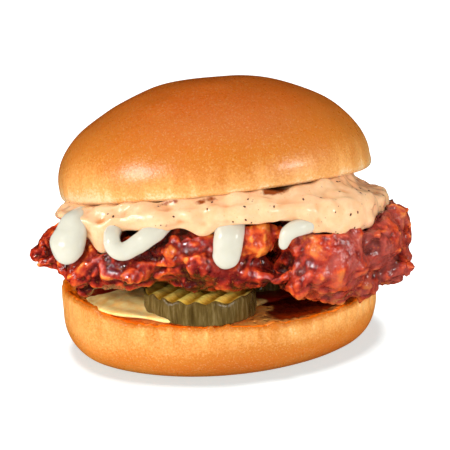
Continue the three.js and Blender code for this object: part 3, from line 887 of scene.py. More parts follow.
def make_heel(settings):
    """The heel's skin, with soft upright wrinkles under a ragged rim; its shades tell how far it
    is browned and toasted, where glaze soaks it and painted shade falls under the chicken, and
    how far it lies from the rim, inward of which the glaze is painted darker as shade."""
    mesh = closed_skin("bun_heel_loaf", heel_grid(), (0, 0, 0), (0, 0, HEEL_HEIGHT))
    points, normals = read_points(mesh)
    x, y, z = points.T
    around = np.arctan2(y, x)
    out = np.hypot(x, y) / BUN_RADIUS
    depth = heel_cut_height(x, y) - z + rim_lift(out, around)
    on_side = climb(out, 0.8, 0.15) * climb(depth, 0, 1.5)
    on_face = (depth < 0.4) & (out < 0.975)
    at_lip = bell(depth, 0.6, 0.9) * (out > 0.9)
    front = 0.35 + 0.65 * hump(around, -95, 50)
    strip = unrolled(around, 0.16 * z)
    wrinkle = swell(strip, 2.2, 5, 2) * bell(depth, 3, 3.2)
    relief = settings.wrinkles / MM * wrinkle * on_side * front
    relief += (0.35 * swell(points, 16, 8) + 0.5 * hump(around, 180, 45)) * on_side
    relief += 0.7 * front * at_lip * swell(strip, 2.6, 12, 2)
    relief -= 0.5 * on_face * np.abs(swell(points, 2.4, 15, 2)) * (out < 0.96)
    relief *= climb(z, 0, 1.5)
    points = points + relief[:, None] * normals
    points[:, 2] += 0.8 * front * at_lip * swell(strip, 1.9, 13, 2)
    write_points(mesh, points)

    z = points[:, 2]
    broad = swell(strip / 3.1, 2.2, 9, 2)
    pale_top = climb(z + 1.6 * broad + 0.8 * wrinkle, *HEEL_PALING)
    browned = HEEL_TONE - 0.36 * pale_top ** 2 * (3 - 2 * pale_top)
    browned += 0.25 * at_lip - 0.05 * hump(around, -140, 35) + 0.04 * hump(around, 0, 50)
    browned += 0.12 * front * (wrinkle + 0.8 * broad) * on_side
    browned -= 0.24 * hump(around, -140, 40) * climb(z, 13, -13)
    torn = hump(around, -100, 32) * bell(depth, 2.4, 2.2)
    browned -= 0.22 * torn * np.clip(swell(strip, 1.6, 14, 3), 0, 1) * on_side
    browned -= hump(around, -30, 40) * (0.08 + 0.14 * bell(depth, 2.5, 3.0))
    write_shade(mesh, "browned", browned)
    write_shade(mesh, "cut", on_face | ((depth < 0.3) & (out > 0.9)))
    toasted = 0.1 + 0.4 * climb(out, 0.93, 0.06) + 0.15 * swell(points, 7, 20, 2)
    write_shade(mesh, "toasted", toasted + 0.12 * hump(around, -165, 30))
    # Painted shade: the soak also marks the cut face under the chicken, besides the glaze at the
    # right.
    write_shade(mesh, "soaked", soaked_with_glaze(points) * climb(out, 0.985, -0.10))
    # Painted shade: from the rim inward the glaze is painted darker, under the chicken.
    write_shade(mesh, "thin", climb(out, *RIM_BAND))
    piece = show(mesh, "heel_loaf", make_heel_finish(settings), "bun_heel", "bun_heel")
    light_group("floor_light_blockers").objects.link(piece)


def crown_tilt():
    """Turns upright points as the crown leans, to the front and up at the right."""
    lean = Matrix.Rotation(-CROWN_TILT_RIGHT, 3, "Y") @ Matrix.Rotation(-CROWN_TILT_FRONT, 3, "X")
    return np.array(lean)


def crown_grid():
    """Rings of an upright domed loaf: cut face, a short skirt that rolls under, and a dome
    whose radius falls as the cosine of the slope and whose height rises as its sine, drawn a
    little to the left as it rises."""
    angle = compass(CROWN_COLUMNS)
    rim = BUN_RADIUS - CROWN_RIM_INSET
    dome_foot = BUN_RADIUS - CROWN_DOME_INSET
    face = [np.linspace(6, rim - 2, 16), np.zeros(16)]
    knots = [(rim - 1.2, 0), (rim, 0.8), (BUN_RADIUS - 0.7, CROWN_SKIRT * 0.5),
             (dome_foot, CROWN_SKIRT)]
    slope = np.linspace(0, math.pi / 2, 122)[1:-1]
    rise = np.sin(slope) ** 1.06
    dome = [dome_foot * np.cos(slope), CROWN_SKIRT + CROWN_RISE * rise]
    radius, height = np.concatenate([face, smooth_path(knots, 22).T, dome], axis=1)[:, :, None]
    shift = CROWN_SHIFT * np.concatenate([np.zeros(len(radius) - len(rise)), rise])
    x, y = spun(radius * bun_outline(angle + 1), angle)
    return np.stack([x - shift[:, None], y, height + 0 * x], axis=2)


def make_crown(settings):
    """The crown's skin, tilted, with faint upright streaks round its skirt, and browned towards
    its top."""
    tilt = crown_tilt()
    mesh = closed_skin("bun_crown_loaf", crown_grid() @ tilt.T + CROWN_CENTRE, CROWN_CENTRE,
                       tilt @ (-CROWN_SHIFT, 0, CROWN_PEAK) + CROWN_CENTRE)
    points, normals = read_points(mesh)
    x, y, z = ((points - CROWN_CENTRE) @ tilt).T
    around = np.arctan2(y, x)
    share = climb(z, 0, CROWN_PEAK)
    strip = unrolled(around, 0.14 * z)
    streak = swell(strip, 2.4, 31, 2) * bell(share, 0.1, 0.2)
    relief = climb(z, 0, 2) * (0.35 * swell(points, 18, 30, 2) + 0.08 * streak)
    relief += 0.8 * hump(around, -8, 28) * bell(z, 1, 2.2)
    relief += 0.5 * share ** 8 - 0.6 * hump(around, 180, 50) * bell(share, 0.8, 0.15)
    write_points(mesh, points + relief[:, None] * normals)
    edge = 0.048 * hump(around, -150, 50) + 0.021 * hump(around, -20, 40)
    browned = humped(around, CROWN_EDGE_TONE, CROWN_EDGE_HUMPS)
    browned += CROWN_TOP_TONE * climb(share, 0.02 + edge, 0.78) ** CROWN_TONE_POWER
    write_shade(mesh, "browned", browned + 0.10 * streak * (share < 0.5))
    show(mesh, "crown_loaf", make_crown_finish(settings), "bun_crown", "bun_crown")


# ---- pickles -------------------------------------------------------------------------------
CHIP_COLUMNS = 168
CHIP_FACE_ROWS = 34
CHIP_BULGE = [(190, 12, 0.06)]      # a hump on the outline
# The rim's rings from the lower face to the upper one: share of the radius, and of the height.
CHIP_RIM = np.array([(0.985, 0.03), (0.996, 0.09), (1.0, 0.25), (1.0, 0.5), (1.0, 0.75),
                     (0.996, 0.91), (0.985, 0.97)]).T


def make_chip(name, material, centre, radius, ridge_turn, seed):
    """A round slice whose two faces ripple along one direction: the faces are rings of a slab,
    its height is the ripple's cosine, and its rim is rounded and a little uneven."""
    angle = compass(CHIP_COLUMNS)
    outline = 1 + 0.012 * np.sin(3 * angle + seed) + 0.008 * np.sin(5 * angle + 2 * seed)
    outline = humped(angle, outline, CHIP_BULGE)
    flat = np.linspace(0.06, 0.97, CHIP_FACE_ROWS)
    share = np.concatenate([flat, CHIP_RIM[0], flat[::-1]])[:, None]
    level = np.concatenate([0 * flat, CHIP_RIM[1], 0 * flat + 1])[:, None]
    x, y = spun(radius * share * outline, angle)
    turn = math.radians(ridge_turn)
    along = x * math.cos(turn) + y * math.sin(turn)
    ripple = 0.5 * (1 + np.cos(along / CHIP_RIDGE_PITCH * TURN + seed * 0.7))
    height = CHIP_RIDGE_HEIGHT * ripple * level + (CHIP_THICKNESS - CHIP_RIDGE_HEIGHT) * level
    x, y = x + centre[0], y + centre[1]
    grid = np.stack([x, y, height + heel_cut_height(x, y) + CHIP_REST], axis=2)
    mesh = closed_skin(name + "_slice", grid, grid[0].mean(axis=0), grid[-1].mean(axis=0))
    points, normals = read_points(mesh)
    relief = 0.22 * swell(points, 2.6, 40 + seed, 2)
    write_points(mesh, points + relief[:, None] * normals)
    # Painted light and shade: the ripple's height, by which crests are painted pale and valleys
    # dark.
    write_shade(mesh, "crest", with_poles(ripple.shape, 0.5, ripple))
    write_shade(mesh, "rind", with_poles(ripple.shape, 0, climb(share, 0.93, 0.05)))
    show(mesh, name + "_slice", material, "pickle", name)


# ---- spread --------------------------------------------------------------------------------
SPREAD_COLUMNS = 260
SPREAD_FACE_ROWS = 40
SPREAD_REST = 0.3                   # height of the pool's foot over the cut face
SPREAD_PEAK = 3.6
SPREAD_MOUND = (-137, 16)
SPREAD_MOUND_HEIGHT = 2.2
# The edge's rings from the underside to the top: share of the reach, and height.
SPREAD_EDGE = np.array([(0.975, -0.1), (0.992, 0.25), (1.0, 0.75), (0.995, 1.1),
                        (0.982, 1.35), (0.96, 1.55)]).T


def make_spread(settings):
    """A pool pressed out on the cut face: rings of a reach that follows the compass, rising from
    its soft edge to its middle, with a mound at the left of the front."""
    angle = compass(SPREAD_COLUMNS)
    reach = humped(angle, SPREAD_ROUND, SPREAD_HUMPS)
    reach = reach + 0.9 * np.sin(7 * angle) + 0.5 * np.sin(19 * angle)
    under = np.linspace(0.2, 0.955, 12)
    inward = np.linspace(0, 1, SPREAD_FACE_ROWS)
    share = np.concatenate([under, SPREAD_EDGE[0], np.linspace(0.93, 0.08, SPREAD_FACE_ROWS)])
    height = np.concatenate([0 * under - 0.3, SPREAD_EDGE[1], 1.7 + 1.6 * inward ** 0.5])
    x, y = spun(share[:, None] * reach, angle)
    mound = 1 - np.exp(-np.clip(0.93 - share, 0, 1) * 9)
    mound[:-SPREAD_FACE_ROWS] = 0
    z = heel_cut_height(x, y) + SPREAD_REST + height[:, None]
    z += SPREAD_MOUND_HEIGHT * mound[:, None] * hump(angle, *SPREAD_MOUND)
    mesh = closed_skin("spread_pool", np.stack([x, y, z], axis=2), (0, 0, HEEL_HEIGHT),
                       (0, 0, HEEL_HEIGHT + SPREAD_PEAK))
    points, normals = read_points(mesh)
    x, y, z = points.T
    upper = climb(z - heel_cut_height(x, y), 0.8, 1)
    relief = upper * (0.45 * swell(points, 6, 50, 2) + 0.1)
    write_points(mesh, points + relief[:, None] * normals)
    # Painted shade: the soak also marks the spread under the chicken, besides the glaze at the
    # right.
    write_shade(mesh, "soaked", soaked_with_glaze(points))
    show(mesh, "spread_pool", make_spread_finish(settings), "cream_spread", "heel_spread")


# ---- fried chicken -------------------------------------------------------------------------
CHICKEN_SEEDS = {"chicken_left": 101, "chicken_right": 202}
VOXEL = 0.55
CRAG_SHAPE = (8, 14)
CRAG_STRETCH = [(0.9, 1.1), (0.8, 0.4), (0.6, 0.5)]     # least, and the rest by chance
# Grain of the pebbles of each size and of the folds between, and how high each stands.
BIG_GRAIN, BIG_HEIGHT = 9.5, 1.3
MIDDLE_GRAIN, MIDDLE_HEIGHT = 5.6, 1.5
SMALL_GRAIN, SMALL_HEIGHT = 2.9, 0.7
FINE_GRAIN, FINE_HEIGHT = 1.7, 0.18
FOLD_GRAIN, FOLD_HEIGHT = 6.5, 0.45
CREASE_WIDTH = 0.10
MIDDLE_CREASE, SMALL_CREASE = 0.5, 0.2
LOOP_PRESS, SAUCE_PRESS = 0.8, 1.8  # how far the crust gives way under the sauces
CLOSE_ROUNDS, WIDE_ROUNDS = 6, 60   # of relaxing, to tell how high a point stands
OVER_CHIP = 2.5                     # how near over a chip the crust stays flat
BESIDE_CHIP = 1.5                   # and how near beside it
# The broad front face of the right piece, where the crust is thin, and how far that reaches.
CALM_FACE = np.array([36.0, -46.0, 34.0])
CALM_REACH = np.array([15.0, 15.0, 10.0])
REACH_RIGHT = 64.0                  # beyond it the crust is drawn in, to end a little further
REACH_FURTHER = 1.5
# Spots of the crust painted paler or darker, each a middle, a reach and a share: a painted lit
# patch on a lobe in the sauce's shadow, two darker patches of crust, and painted shade in two gaps
# between the crags.
BRIGHT_CRUST = [(13, -46, 44, 6.5, 0.45), (-6, -46, 35, 15, -0.15), (-32, -46, 37, 10, -0.09),
                (18, -45, 31.5, 4, -0.6), (-3, -45, 38, 3.5, -0.5)]
# Dimples of the crust, each a middle, a reach and a depth.
DIMPLES = {
    "chicken_left": [(-53.5, -24, 48.5, 7, 3.0), (-52.5, -24, 27.5, 8, 4.5),
                     (-3.6, -46, 38.4, 3.6, 4.5), (15.5, -46, 33.5, 4.5, 4.0)],
    "chicken_right": [(15.5, -46, 33.0, 5.0, 4.5), (43, -39, 43, 4.5, 2.5)],
}


def over_a_chip(points):
    """True where a point stands over, or beside the side of, one of the chips."""
    x, y, z = points.T
    inside = np.zeros(len(points), bool)
    for chip in CHIPS.values():
        gap = np.hypot(x - chip["centre"][0], y - chip["centre"][1])
        top = heel_cut_height(x, y) + CHIP_THICKNESS + CHIP_REST
        inside |= (gap < chip["radius"] + BESIDE_CHIP) & (z < top + OVER_CHIP)
    return inside


def bead_course(path, radius, girth, count):
    """Points at equal steps along a bead's smooth path, and its radius at each."""
    return even_path(path, count), radius * smooth_path(np.array(girth)[:, None], count)[:, 0]


def gap_to_loops(points):
    """Distance from each point to the nearest skin of the white loops."""
    gap = np.full(len(points), np.inf)
    for loop in LOOPS.values():
        for spot, reach in zip(*bead_course(loop["path"], loop["radius"], loop["girth"], 24)):
            gap = np.minimum(gap, np.linalg.norm(points - spot, axis=1) - reach)
    return gap


def under_the_sauce(points):
    """Share from 0 to 1 that tells how closely a point lies under the spiced sauce's lip."""
    x, y, z = points.T
    angle = np.arctan2(y, x - CROWN_CENTRE[0])
    out = np.hypot(x - CROWN_CENTRE[0], y)
    inside = climb(out, lip_reach(angle) + 0.5 + 4.5 * hump(angle, -60, 38), -2)
    return inside * climb(z, crown_cut_height(x, y) - lip_droop(angle) - 1.0, 1.5)


def merged_copy(node):
    """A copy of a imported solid's mesh with its loose triangles joined along their edges."""
    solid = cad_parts[node].data
    corners = read_rows(solid.loops, "vertex_index", 1, np.int32).ravel()
    places, kept = np.unique(read_rows(solid.vertices, "co", 3).round(7), axis=0,
                             return_inverse=True)
    return mesh_of(node + "_base", places / MM - ORIGIN, [kept.ravel()[corners].reshape(-1, 3)])


def remeshed(meshes, voxel):
    """One even skin round several closed meshes, rebuilt on a grid of small cubes."""
    points, faces, offset = [], [], 0
    for mesh in meshes:
        own, _ = read_points(mesh)
        points.append(own)
        faces.append(read_triangles(mesh) + offset)
        offset += len(own)
        bpy.data.meshes.remove(mesh)
    joined = mesh_of("joined", np.concatenate(points), [np.concatenate(faces)])
    piece = bpy.data.objects.new("joined", joined)
    bpy.context.scene.collection.objects.link(piece)
    remesh = piece.modifiers.new("skin", "REMESH")
    remesh.mode = "VOXEL"
    remesh.voxel_size = voxel * MM
    depsgraph = bpy.context.evaluated_depsgraph_get()
    skin = bpy.data.meshes.new_from_object(piece.evaluated_get(depsgraph))
    bpy.data.objects.remove(piece)
    bpy.data.meshes.remove(joined)
    return skin


def rough_chicken(node, settings, chance):
    """One skin round a solid, the eggs of crust strewn over it by chance and its lobes."""
    base = merged_copy(node)
    places, normals = spots_on(base, settings.crags, chance)
    keep = ~over_a_chip(places) & (normals[:, 2] > -0.75)
    keep &= chance.random(len(places)) > blob(places, CALM_FACE, CALM_REACH)
    places, normals = places[keep], normals[keep]
    radius = settings.crag_size / MM * (0.4 + 1.2 * chance.random(len(places)) ** 2.5)
    radius *= 1 - 0.45 * climb(np.abs(places[:, 0]), 48, 8)
    stretch = [least + rest * chance.random(len(places)) for least, rest in CRAG_STRETCH]
    crags = scattered("crags", egg(*CRAG_SHAPE), places - 0.2 * radius[:, None] * normals,
                      normals, radius[:, None] * np.stack(stretch, axis=1), chance)
    lobes = np.array(LOBES[node])
    upright = np.tile((0.0, 0.0, 1.0), (len(lobes), 1))
    lumps = scattered("lumps", egg(*CRAG_SHAPE), lobes[:, :3], upright, lobes[:, 3:], chance)
    return remeshed([base, crags, lumps], VOXEL)


def pebbled(points, seed, low):
    """Height of a crust that swells out in pebbles of four sizes with creases between, less so
    where it is low or calm, and a share that each pebble has for its own."""
    bend = np.stack([swell(points, 8, seed + k, 3) for k in range(3)], axis=1)
    warped = points * (1, 1, 0.75) + 2.8 * bend
    big, _, _ = pebbles(warped, BIG_GRAIN, seed + 3)
    middle, rim, owner = pebbles(warped, MIDDLE_GRAIN, seed + 5)
    small, small_rim, small_owner = pebbles(warped + 0.8 * bend, SMALL_GRAIN, seed + 6)
    fine, _, _ = pebbles(points + 0.5 * bend, FINE_GRAIN, seed + 9)
    folds = 1 - 2 * np.abs(swell(points * (1, 1, 0.55) + 2 * bend, FOLD_GRAIN, seed + 8, 2))
    rugged = np.clip(0.9 + 0.6 * swell(points, 14, seed + 7), 0.35, 1.3)
    rugged = rugged * (1 - 0.75 * blob(points, CALM_FACE, CALM_REACH)) * (1 - 0.6 * low)
    height = BIG_HEIGHT * (0.6 - big) + rugged * (
        MIDDLE_HEIGHT * (0.5 - middle) + SMALL_HEIGHT * (0.5 - small)
        + FOLD_HEIGHT * folds + FINE_HEIGHT * (0.5 - fine))
    height -= MIDDLE_CREASE * rugged * bell(rim, middle, CREASE_WIDTH) + 0.5
    height -= SMALL_CREASE * rugged * bell(small_rim, small, CREASE_WIDTH)
    return height, 0.6 * owner + 0.4 * small_owner


def make_chicken(node, material, seed, settings):
    """A craggy fried piece: its rough skin swells out in pebbles, is dimpled in places and
    pressed in under the sauces and over the chips; its shades tell how high each point stands
    above those round it, with painted shade in hollows and gaps and on the low edge and a
    painted lit patch, which pebble it is on, and where a paler painted sheen lies on the right
    piece."""
    mesh = rough_chicken(node, settings, np.random.default_rng(seed))
    points, normals = read_points(mesh)
    edges = read_edges(mesh)
    points = relaxed(points, edges, 5)
    x, _, z = points.T
    low = climb(z, 33, -5) * climb(x, -6, -12)
    relief, owner = pebbled(points, seed, low)
    relief += 0.6 * climb(x, -38, -1)
    relief -= 0.6 * climb(x, 50, 6)
    for *place, reach, depth in DIMPLES[node]:
        relief -= depth * blob(points, place, reach)
    for press, depth in ((climb(gap_to_loops(points), 1.2, -1), LOOP_PRESS),
                         (under_the_sauce(points), SAUCE_PRESS)):
        relief = relief * (1 - press) - depth * press
    lifted = 0.3 + 1.5 * climb(x, -8, -6)
    relief = np.where(over_a_chip(points), np.minimum(relief, 0) - lifted, relief)
    points = relaxed(points + relief[:, None] * normals, edges, 2)
    over = np.clip(points[:, 0] - REACH_RIGHT, 0, None)
    points[:, 0] -= over - REACH_FURTHER * np.tanh(over / REACH_FURTHER)
    write_points(mesh, points)

    _, normals = read_points(mesh)
    close, wide = (((points - relaxed(points, edges, rounds)) * normals).sum(axis=1)
                   for rounds in (CLOSE_ROUNDS, WIDE_ROUNDS))
    x = points[:, 0]
    # Painted shade: hollows among the crags and the low lower edge get a lower height, which the
    # finish paints darker.
    crag = 0.37 + 0.85 * close + 0.4 * wide - 0.3 * low + 0.05 * np.clip(x / 25, -1, 1)
    # Painted light on one lobe and painted shade in two gaps, besides two darker patches of crust.
    for *place, reach, share in BRIGHT_CRUST:
        crag += share * blob(points, place, reach)
    write_shade(mesh, "crag", np.clip(crag, 0, 1))
    write_shade(mesh, "batter", owner)
    # Painted sheen: the share of the right piece that is painted a paler rose.
    write_shade(mesh, "thick", climb(x, 20, 18))
    piece = show(mesh, node + "_crust", material, "glazed_chicken", node)
    light_group("glaze_light").objects.link(piece)


# ---- sauces --------------------------------------------------------------------------------
BEAD_RINGS = 110
BEAD_COLUMNS = 36
BEAD_TIP = 0.1                      # how far a bead's poles stand beyond its path
SAUCE_COLUMNS = 420
SAUCE_INNER = 36                    # reach at which the sauce's underside starts to fall
SAUCE_DEPTH = 7.5                   # of its underside below the crown's cut face, within that
SAUCE_CURL = 3.0
SAUCE_WAIST = 0.6                   # where the shoulder starts, as a share of the droop
SAUCE_TOP = -0.3                    # its edge's depth below the crown's cut face, with humps
SAUCE_TOP_HUMPS = [(-64, 6, 1.9), (-82, 7, 0.6)]
PEPPER_SEED = 7
FLECK_REACH = 47                    # how far out the flecks start
FLECK_SHAPE = (2, 5)
FLECK_STRETCH = np.array([1.4, 0.9, 0.4])


def make_bead(name, material, path, radius, girth, depth, seed):
    """A thick bead: rings of an oval section carried along a smooth path, as wide as its girth
    tells there, less deep than wide, and rounded off at both ends."""
    middle, reach = bead_course(path, radius, girth, BEAD_RINGS)
    x, y, z = middle.T
    along = unit_length(np.gradient(middle, axis=0))
    across = unit_length(np.cross(along, np.stack([x * 0.5, y, 0 * z + 12], axis=1)))
    up = np.cross(across, along)
    length = np.linalg.norm(np.diff(middle, axis=0), axis=1).sum()
    at = np.linspace(0, 1, BEAD_RINGS)
    end = np.minimum(at, 1 - at) * length
    reach = reach * np.sqrt(1 - (1 - climb(end, -BEAD_TIP, reach)) ** 2)
    wide, deep = spun(reach[:, None], compass(BEAD_COLUMNS))
    grid = (middle[:, None] + wide[:, :, None] * across[:, None]
            + depth * deep[:, :, None] * up[:, None])
    mesh = closed_skin(name + "_bead", grid, middle[0] - BEAD_TIP * along[0],
                       middle[-1] + BEAD_TIP * along[-1])
    points, normals = read_points(mesh)
    relief = 0.2 * swell(points, 5, 60 + seed, 2)
    write_points(mesh, points + relief[:, None] * normals)
    show(mesh, name + "_bead", material, "white_sauce", name)


def sauce_grid(top):
    """Rings about the crown's axis, from under its middle out to a lip that droops in lobes,
    round that and up a sloping shoulder to the top's depth below the crown's cut face."""
    angle = compass(SAUCE_COLUMNS)
    reach, droop = lip_reach(angle), lip_droop(angle)
    waist = SAUCE_WAIST * droop
    shoulder = 4.5 + 9.5 * hump(angle, -20, 42)
    inner = np.linspace(5, SAUCE_INNER, 10)[:, None] + 0 * angle
    out = np.linspace(0.1, 1, 12)[:, None]
    slope = np.linspace(math.pi / 2, 0, 20)[1:, None]
    share = np.linspace(0, 1, 44)[1:, None]
    fall = 1.6 + 1.7 * hump(angle, -2, 34)
    rounding = 0.36 * (1 - 0.8 * hump(angle, 6, 30))
    rise = rounding * (1 - (1 - np.minimum(share / 0.22, 1)) ** 2) + (1 - rounding) * share ** fall
    back = np.linspace(0.05, 0.9, 12)[:, None]
    spans = [
        (inner, 0 * inner + SAUCE_DEPTH),
        (SAUCE_INNER + out * (reach - SAUCE_CURL - SAUCE_INNER),
         SAUCE_DEPTH + out ** 2 * (droop - SAUCE_DEPTH)),
        (reach - SAUCE_CURL * (1 - np.cos(slope)),
         droop * (SAUCE_WAIST + (1 - SAUCE_WAIST) * np.sin(slope))),
        (reach - shoulder * share, waist + (top - waist) * rise),
        ((reach - shoulder) * (1 - back), top + 0 * back),
    ]
    distance, depth = (np.concatenate(rings) for rings in zip(*spans))
    x, y = spun(distance, angle)
    x += CROWN_CENTRE[0]
    return np.stack([x, y, crown_cut_height(x, y) - depth], axis=2)


def make_spiced_sauce(settings):
    """A thick slack layer under the crown, over which soft folds swell; its shades tell how deep
    each fold is, for painted shade there, and where oil and painted shadow gather under the
    crown's rim."""
    top = humped(compass(SAUCE_COLUMNS), SAUCE_TOP, SAUCE_TOP_HUMPS)
    mesh = closed_skin("spiced_sauce_layer", sauce_grid(top), CROWN_CENTRE - (0, 0, SAUCE_DEPTH),
                       CROWN_CENTRE - (0, 0, top.mean()))
    points, normals = read_points(mesh)
    edges = read_edges(mesh)
    x, y, _ = points.T
    around = np.arctan2(y, x - CROWN_CENTRE[0])
    outside = climb(np.hypot(x, y), SAUCE_INNER, 8)
    bend = np.stack([swell(points, 11, 70 + k, 2) for k in range(3)], axis=1)
    folds = 1 - 2 * np.sqrt(swell(points + 5 * bend, 10, 74) ** 2 + 0.04)
    lumps, _, _ = pebbles(points + 2 * bend, 6.5, 77)
    relief = outside * (0.9 * folds + 2.3 * (0.5 - lumps) + 0.8 * swell(points, 3.5, 79))
    relief *= 1 - 0.6 * hump(around, 0, 25)
    points = relaxed(points + relief[:, None] * normals, edges, 6)
    write_points(mesh, points)

    _, normals = read_points(mesh)
    x, y, z = points.T
    # Painted shade: the deeper a hollow among the folds, the darker it is painted.
    hollow = ((relaxed(points, edges, 30) - points) * normals).sum(axis=1)
    write_shade(mesh, "fold", np.clip(0.3 + 0.9 * hollow, 0, 1))
    # Painted shadow along the crown's rim: towards the front it is shadow alone, to its right it
    # is oil with shadow.
    seeping = 0.95 * hump(around, -98, 15) * np.clip(0.6 + swell(points, 4, 81), 0, 1)
    oil = bell(crown_cut_height(x, y) - z, 0.8, 1.5) * (hump(around, -69, 6) + seeping)
    write_shade(mesh, "oil", np.clip(1.1 * oil * outside, 0, 1))
    return show(mesh, "spiced_sauce_layer", make_spiced_finish(settings), "spiced_sauce",
                "spiced_sauce")


def make_pepper(sauce, settings):
    """Flat flecks of pepper lying on the outer lip of the sauce."""
    chance = np.random.default_rng(PEPPER_SEED)
    places, normals = spots_on(sauce, settings.flecks * 3, chance)
    x, y, z = places.T
    keep = (np.hypot(x, y) > FLECK_REACH) & (crown_cut_height(x, y) - z > 1)
    places, normals = places[keep], normals[keep]
    size = 0.16 + 0.34 * chance.random(len(places)) ** 2.2
    mesh = scattered("pepper_flecks", egg(*FLECK_SHAPE), places, normals,
                     size[:, None] * FLECK_STRETCH, chance)
    show(mesh, "pepper_flecks", make_pepper_finish(settings), "spiced_sauce")


# ---- stage ---------------------------------------------------------------------------------
FLOOR_REACH = 4000
FLOOR_CLOUDS = 0.985                # the floor's darkest clouds, as a share of its colour
# Painted shadow: within these distances the floor's dimmer, cooler glow near the sandwich turns
# brighter and white.
GLOW_EDGE = (0.053, 0.080)          # metres from the middle where the cool glow turns white
LIGHT_AIM = (0, 0, 45)
LIGHTS = {
    "overhead": {"place": (0, 150, 1100), "size": (1300, 1100)},
    "front_fill": {"place": (-200, -800, 330), "size": (700, 320)},
    "right_fill": {"place": (760, -160, 330), "size": (500, 320)},
    "left_fill": {"place": (-760, -260, 130), "size": (420, 200)},
    "left_front": {"place": (-710, -411, 400), "size": (330, 240), "mirrored": True},
    "right": {"place": (590, -450, 170), "size": (220, 120), "mirrored": True},
}
FLOOR_LIGHT = {"place": (-130, 90, 1100), "size": (360, 360), "aim": (0, 0, 0)}
GLAZE_LIGHT = {"place": (-240, -700, 520), "size": (70, 70), "mirrored": True}
CAMERA_PLACE = Vector((0, -579.01, 175.5))
CAMERA_AIM = Vector((3.377, 0, 38.731))
CAMERA_ROLL = math.radians(3.74)
SENSOR_WIDTH = 36


def soft_light(name, power, place, size, aim=LIGHT_AIM, mirrored=False):
    """A soft oblong light that faces its aim. Most are kept out of reflections, so that wet
    surfaces stay deep in colour."""
    lamp = bpy.data.lights.new(name, "AREA")
    lamp.shape = "RECTANGLE"
    lamp.size, lamp.size_y = (side * MM for side in size)
    lamp.energy = power
    light = bpy.data.objects.new(name, lamp)
    light.location = Vector(place) * MM
    light.rotation_euler = (Vector(aim) - Vector(place)).to_track_quat("-Z", "Y").to_euler()
    light.visible_glossy = mirrored
    bpy.context.scene.collection.objects.link(light)
    return light


def make_floor(settings):
    """A wide pale floor that glows a little: dimmer and cool beside the sandwich, a painted shadow
    whose tint offsets the bread's warm bounce, and brighter and white away from it.
    """
    corners = np.array([(-1, -1, 0), (1, -1, 0), (1, 1, 0), (-1, 1, 0)]) * FLOOR_REACH
    mesh = mesh_of("floor", corners - ORIGIN, [np.array([[0, 1, 2, 3]])])
    floor = bpy.data.objects.new("floor", mesh)
    bpy.context.scene.collection.objects.link(floor)
    finish = Finish("pale_floor")
    clouded = tuple(FLOOR_CLOUDS * share for share in settings.floor)
    distance = finish.add("ShaderNodeVectorMath", operation="LENGTH")
    finish.feed(distance.inputs["Vector"], finish.place)
    # Painted shadow: the glow is dimmer and cooler near the sandwich than away from it.
    away = finish.span(distance.outputs["Value"], *GLOW_EDGE)
    mesh.materials.append(finish.done(
        Base_Color=finish.mix(finish.grain(60, 2), settings.floor, clouded),
        Roughness=0.9, Specular_IOR_Level=0.1,
        Emission_Color=finish.mix(away, settings.cool, (1, 1, 1)),
        Emission_Strength=finish.span(away, 0, 1, settings.glow, settings.glow_away),
    ))
    floor.visible_glossy = False
    return floor


def make_sky(settings):
    """Even white light from all round, kept out of reflections."""
    world = bpy.data.worlds.new("even_sky")
    world.use_nodes = True
    sky = world.node_tree.nodes["Background"]
    sky.inputs["Color"].default_value = (1, 1, 1, 1)
    sky.inputs["Strength"].default_value = settings.sky
    world.cycles_visibility.glossy = False
    bpy.context.scene.world = world


def hang_lights(floor, settings):
    """Four broad lights and two that the glaze mirrors, all of which spare the floor; one that
    reaches the floor alone and is blocked by the heel alone; and one for the crusts alone."""
    spare = light_group("spared_by_front_lights")
    spare.objects.link(floor)
    spare.collection_objects[0].light_linking.link_state = "EXCLUDE"
    for name, light in LIGHTS.items():
        lamp = soft_light(name, power=getattr(settings, name), **light)
        lamp.light_linking.receiver_collection = spare
    light_group("floor_light").objects.link(floor)
    shadow = soft_light("floor_light", power=settings.floor_light, **FLOOR_LIGHT)
    shadow.light_linking.receiver_collection = light_group("floor_light")
    shadow.light_linking.blocker_collection = light_group("floor_light_blockers")
    glint = soft_light("glaze_light", power=settings.glaze_light, **GLAZE_LIGHT)
    glint.light_linking.receiver_collection = light_group("glaze_light")


def set_camera(settings):
    """A long lens a little above the table, looking at the front with a slight roll."""
    forward = (CAMERA_AIM - CAMERA_PLACE).normalized()
    right = forward.cross(Vector((0, 0, 1))).normalized()
    up = right.cross(forward)
    cosine, sine = math.cos(CAMERA_ROLL), math.sin(CAMERA_ROLL)
    axes = Matrix((right * cosine - up * sine, right * sine + up * cosine,
                   -forward)).transposed()
    lens = bpy.data.cameras.new("camera")
    lens.lens = settings.lens
    lens.sensor_width = SENSOR_WIDTH
    lens.clip_start = 0.01
    camera = bpy.data.objects.new("camera", lens)
    place = Matrix.Translation((CAMERA_PLACE + Vector(ORIGIN)) * MM)
    camera.matrix_world = place @ axes.to_4x4()
    bpy.context.scene.collection.objects.link(camera)
    bpy.context.scene.camera = camera


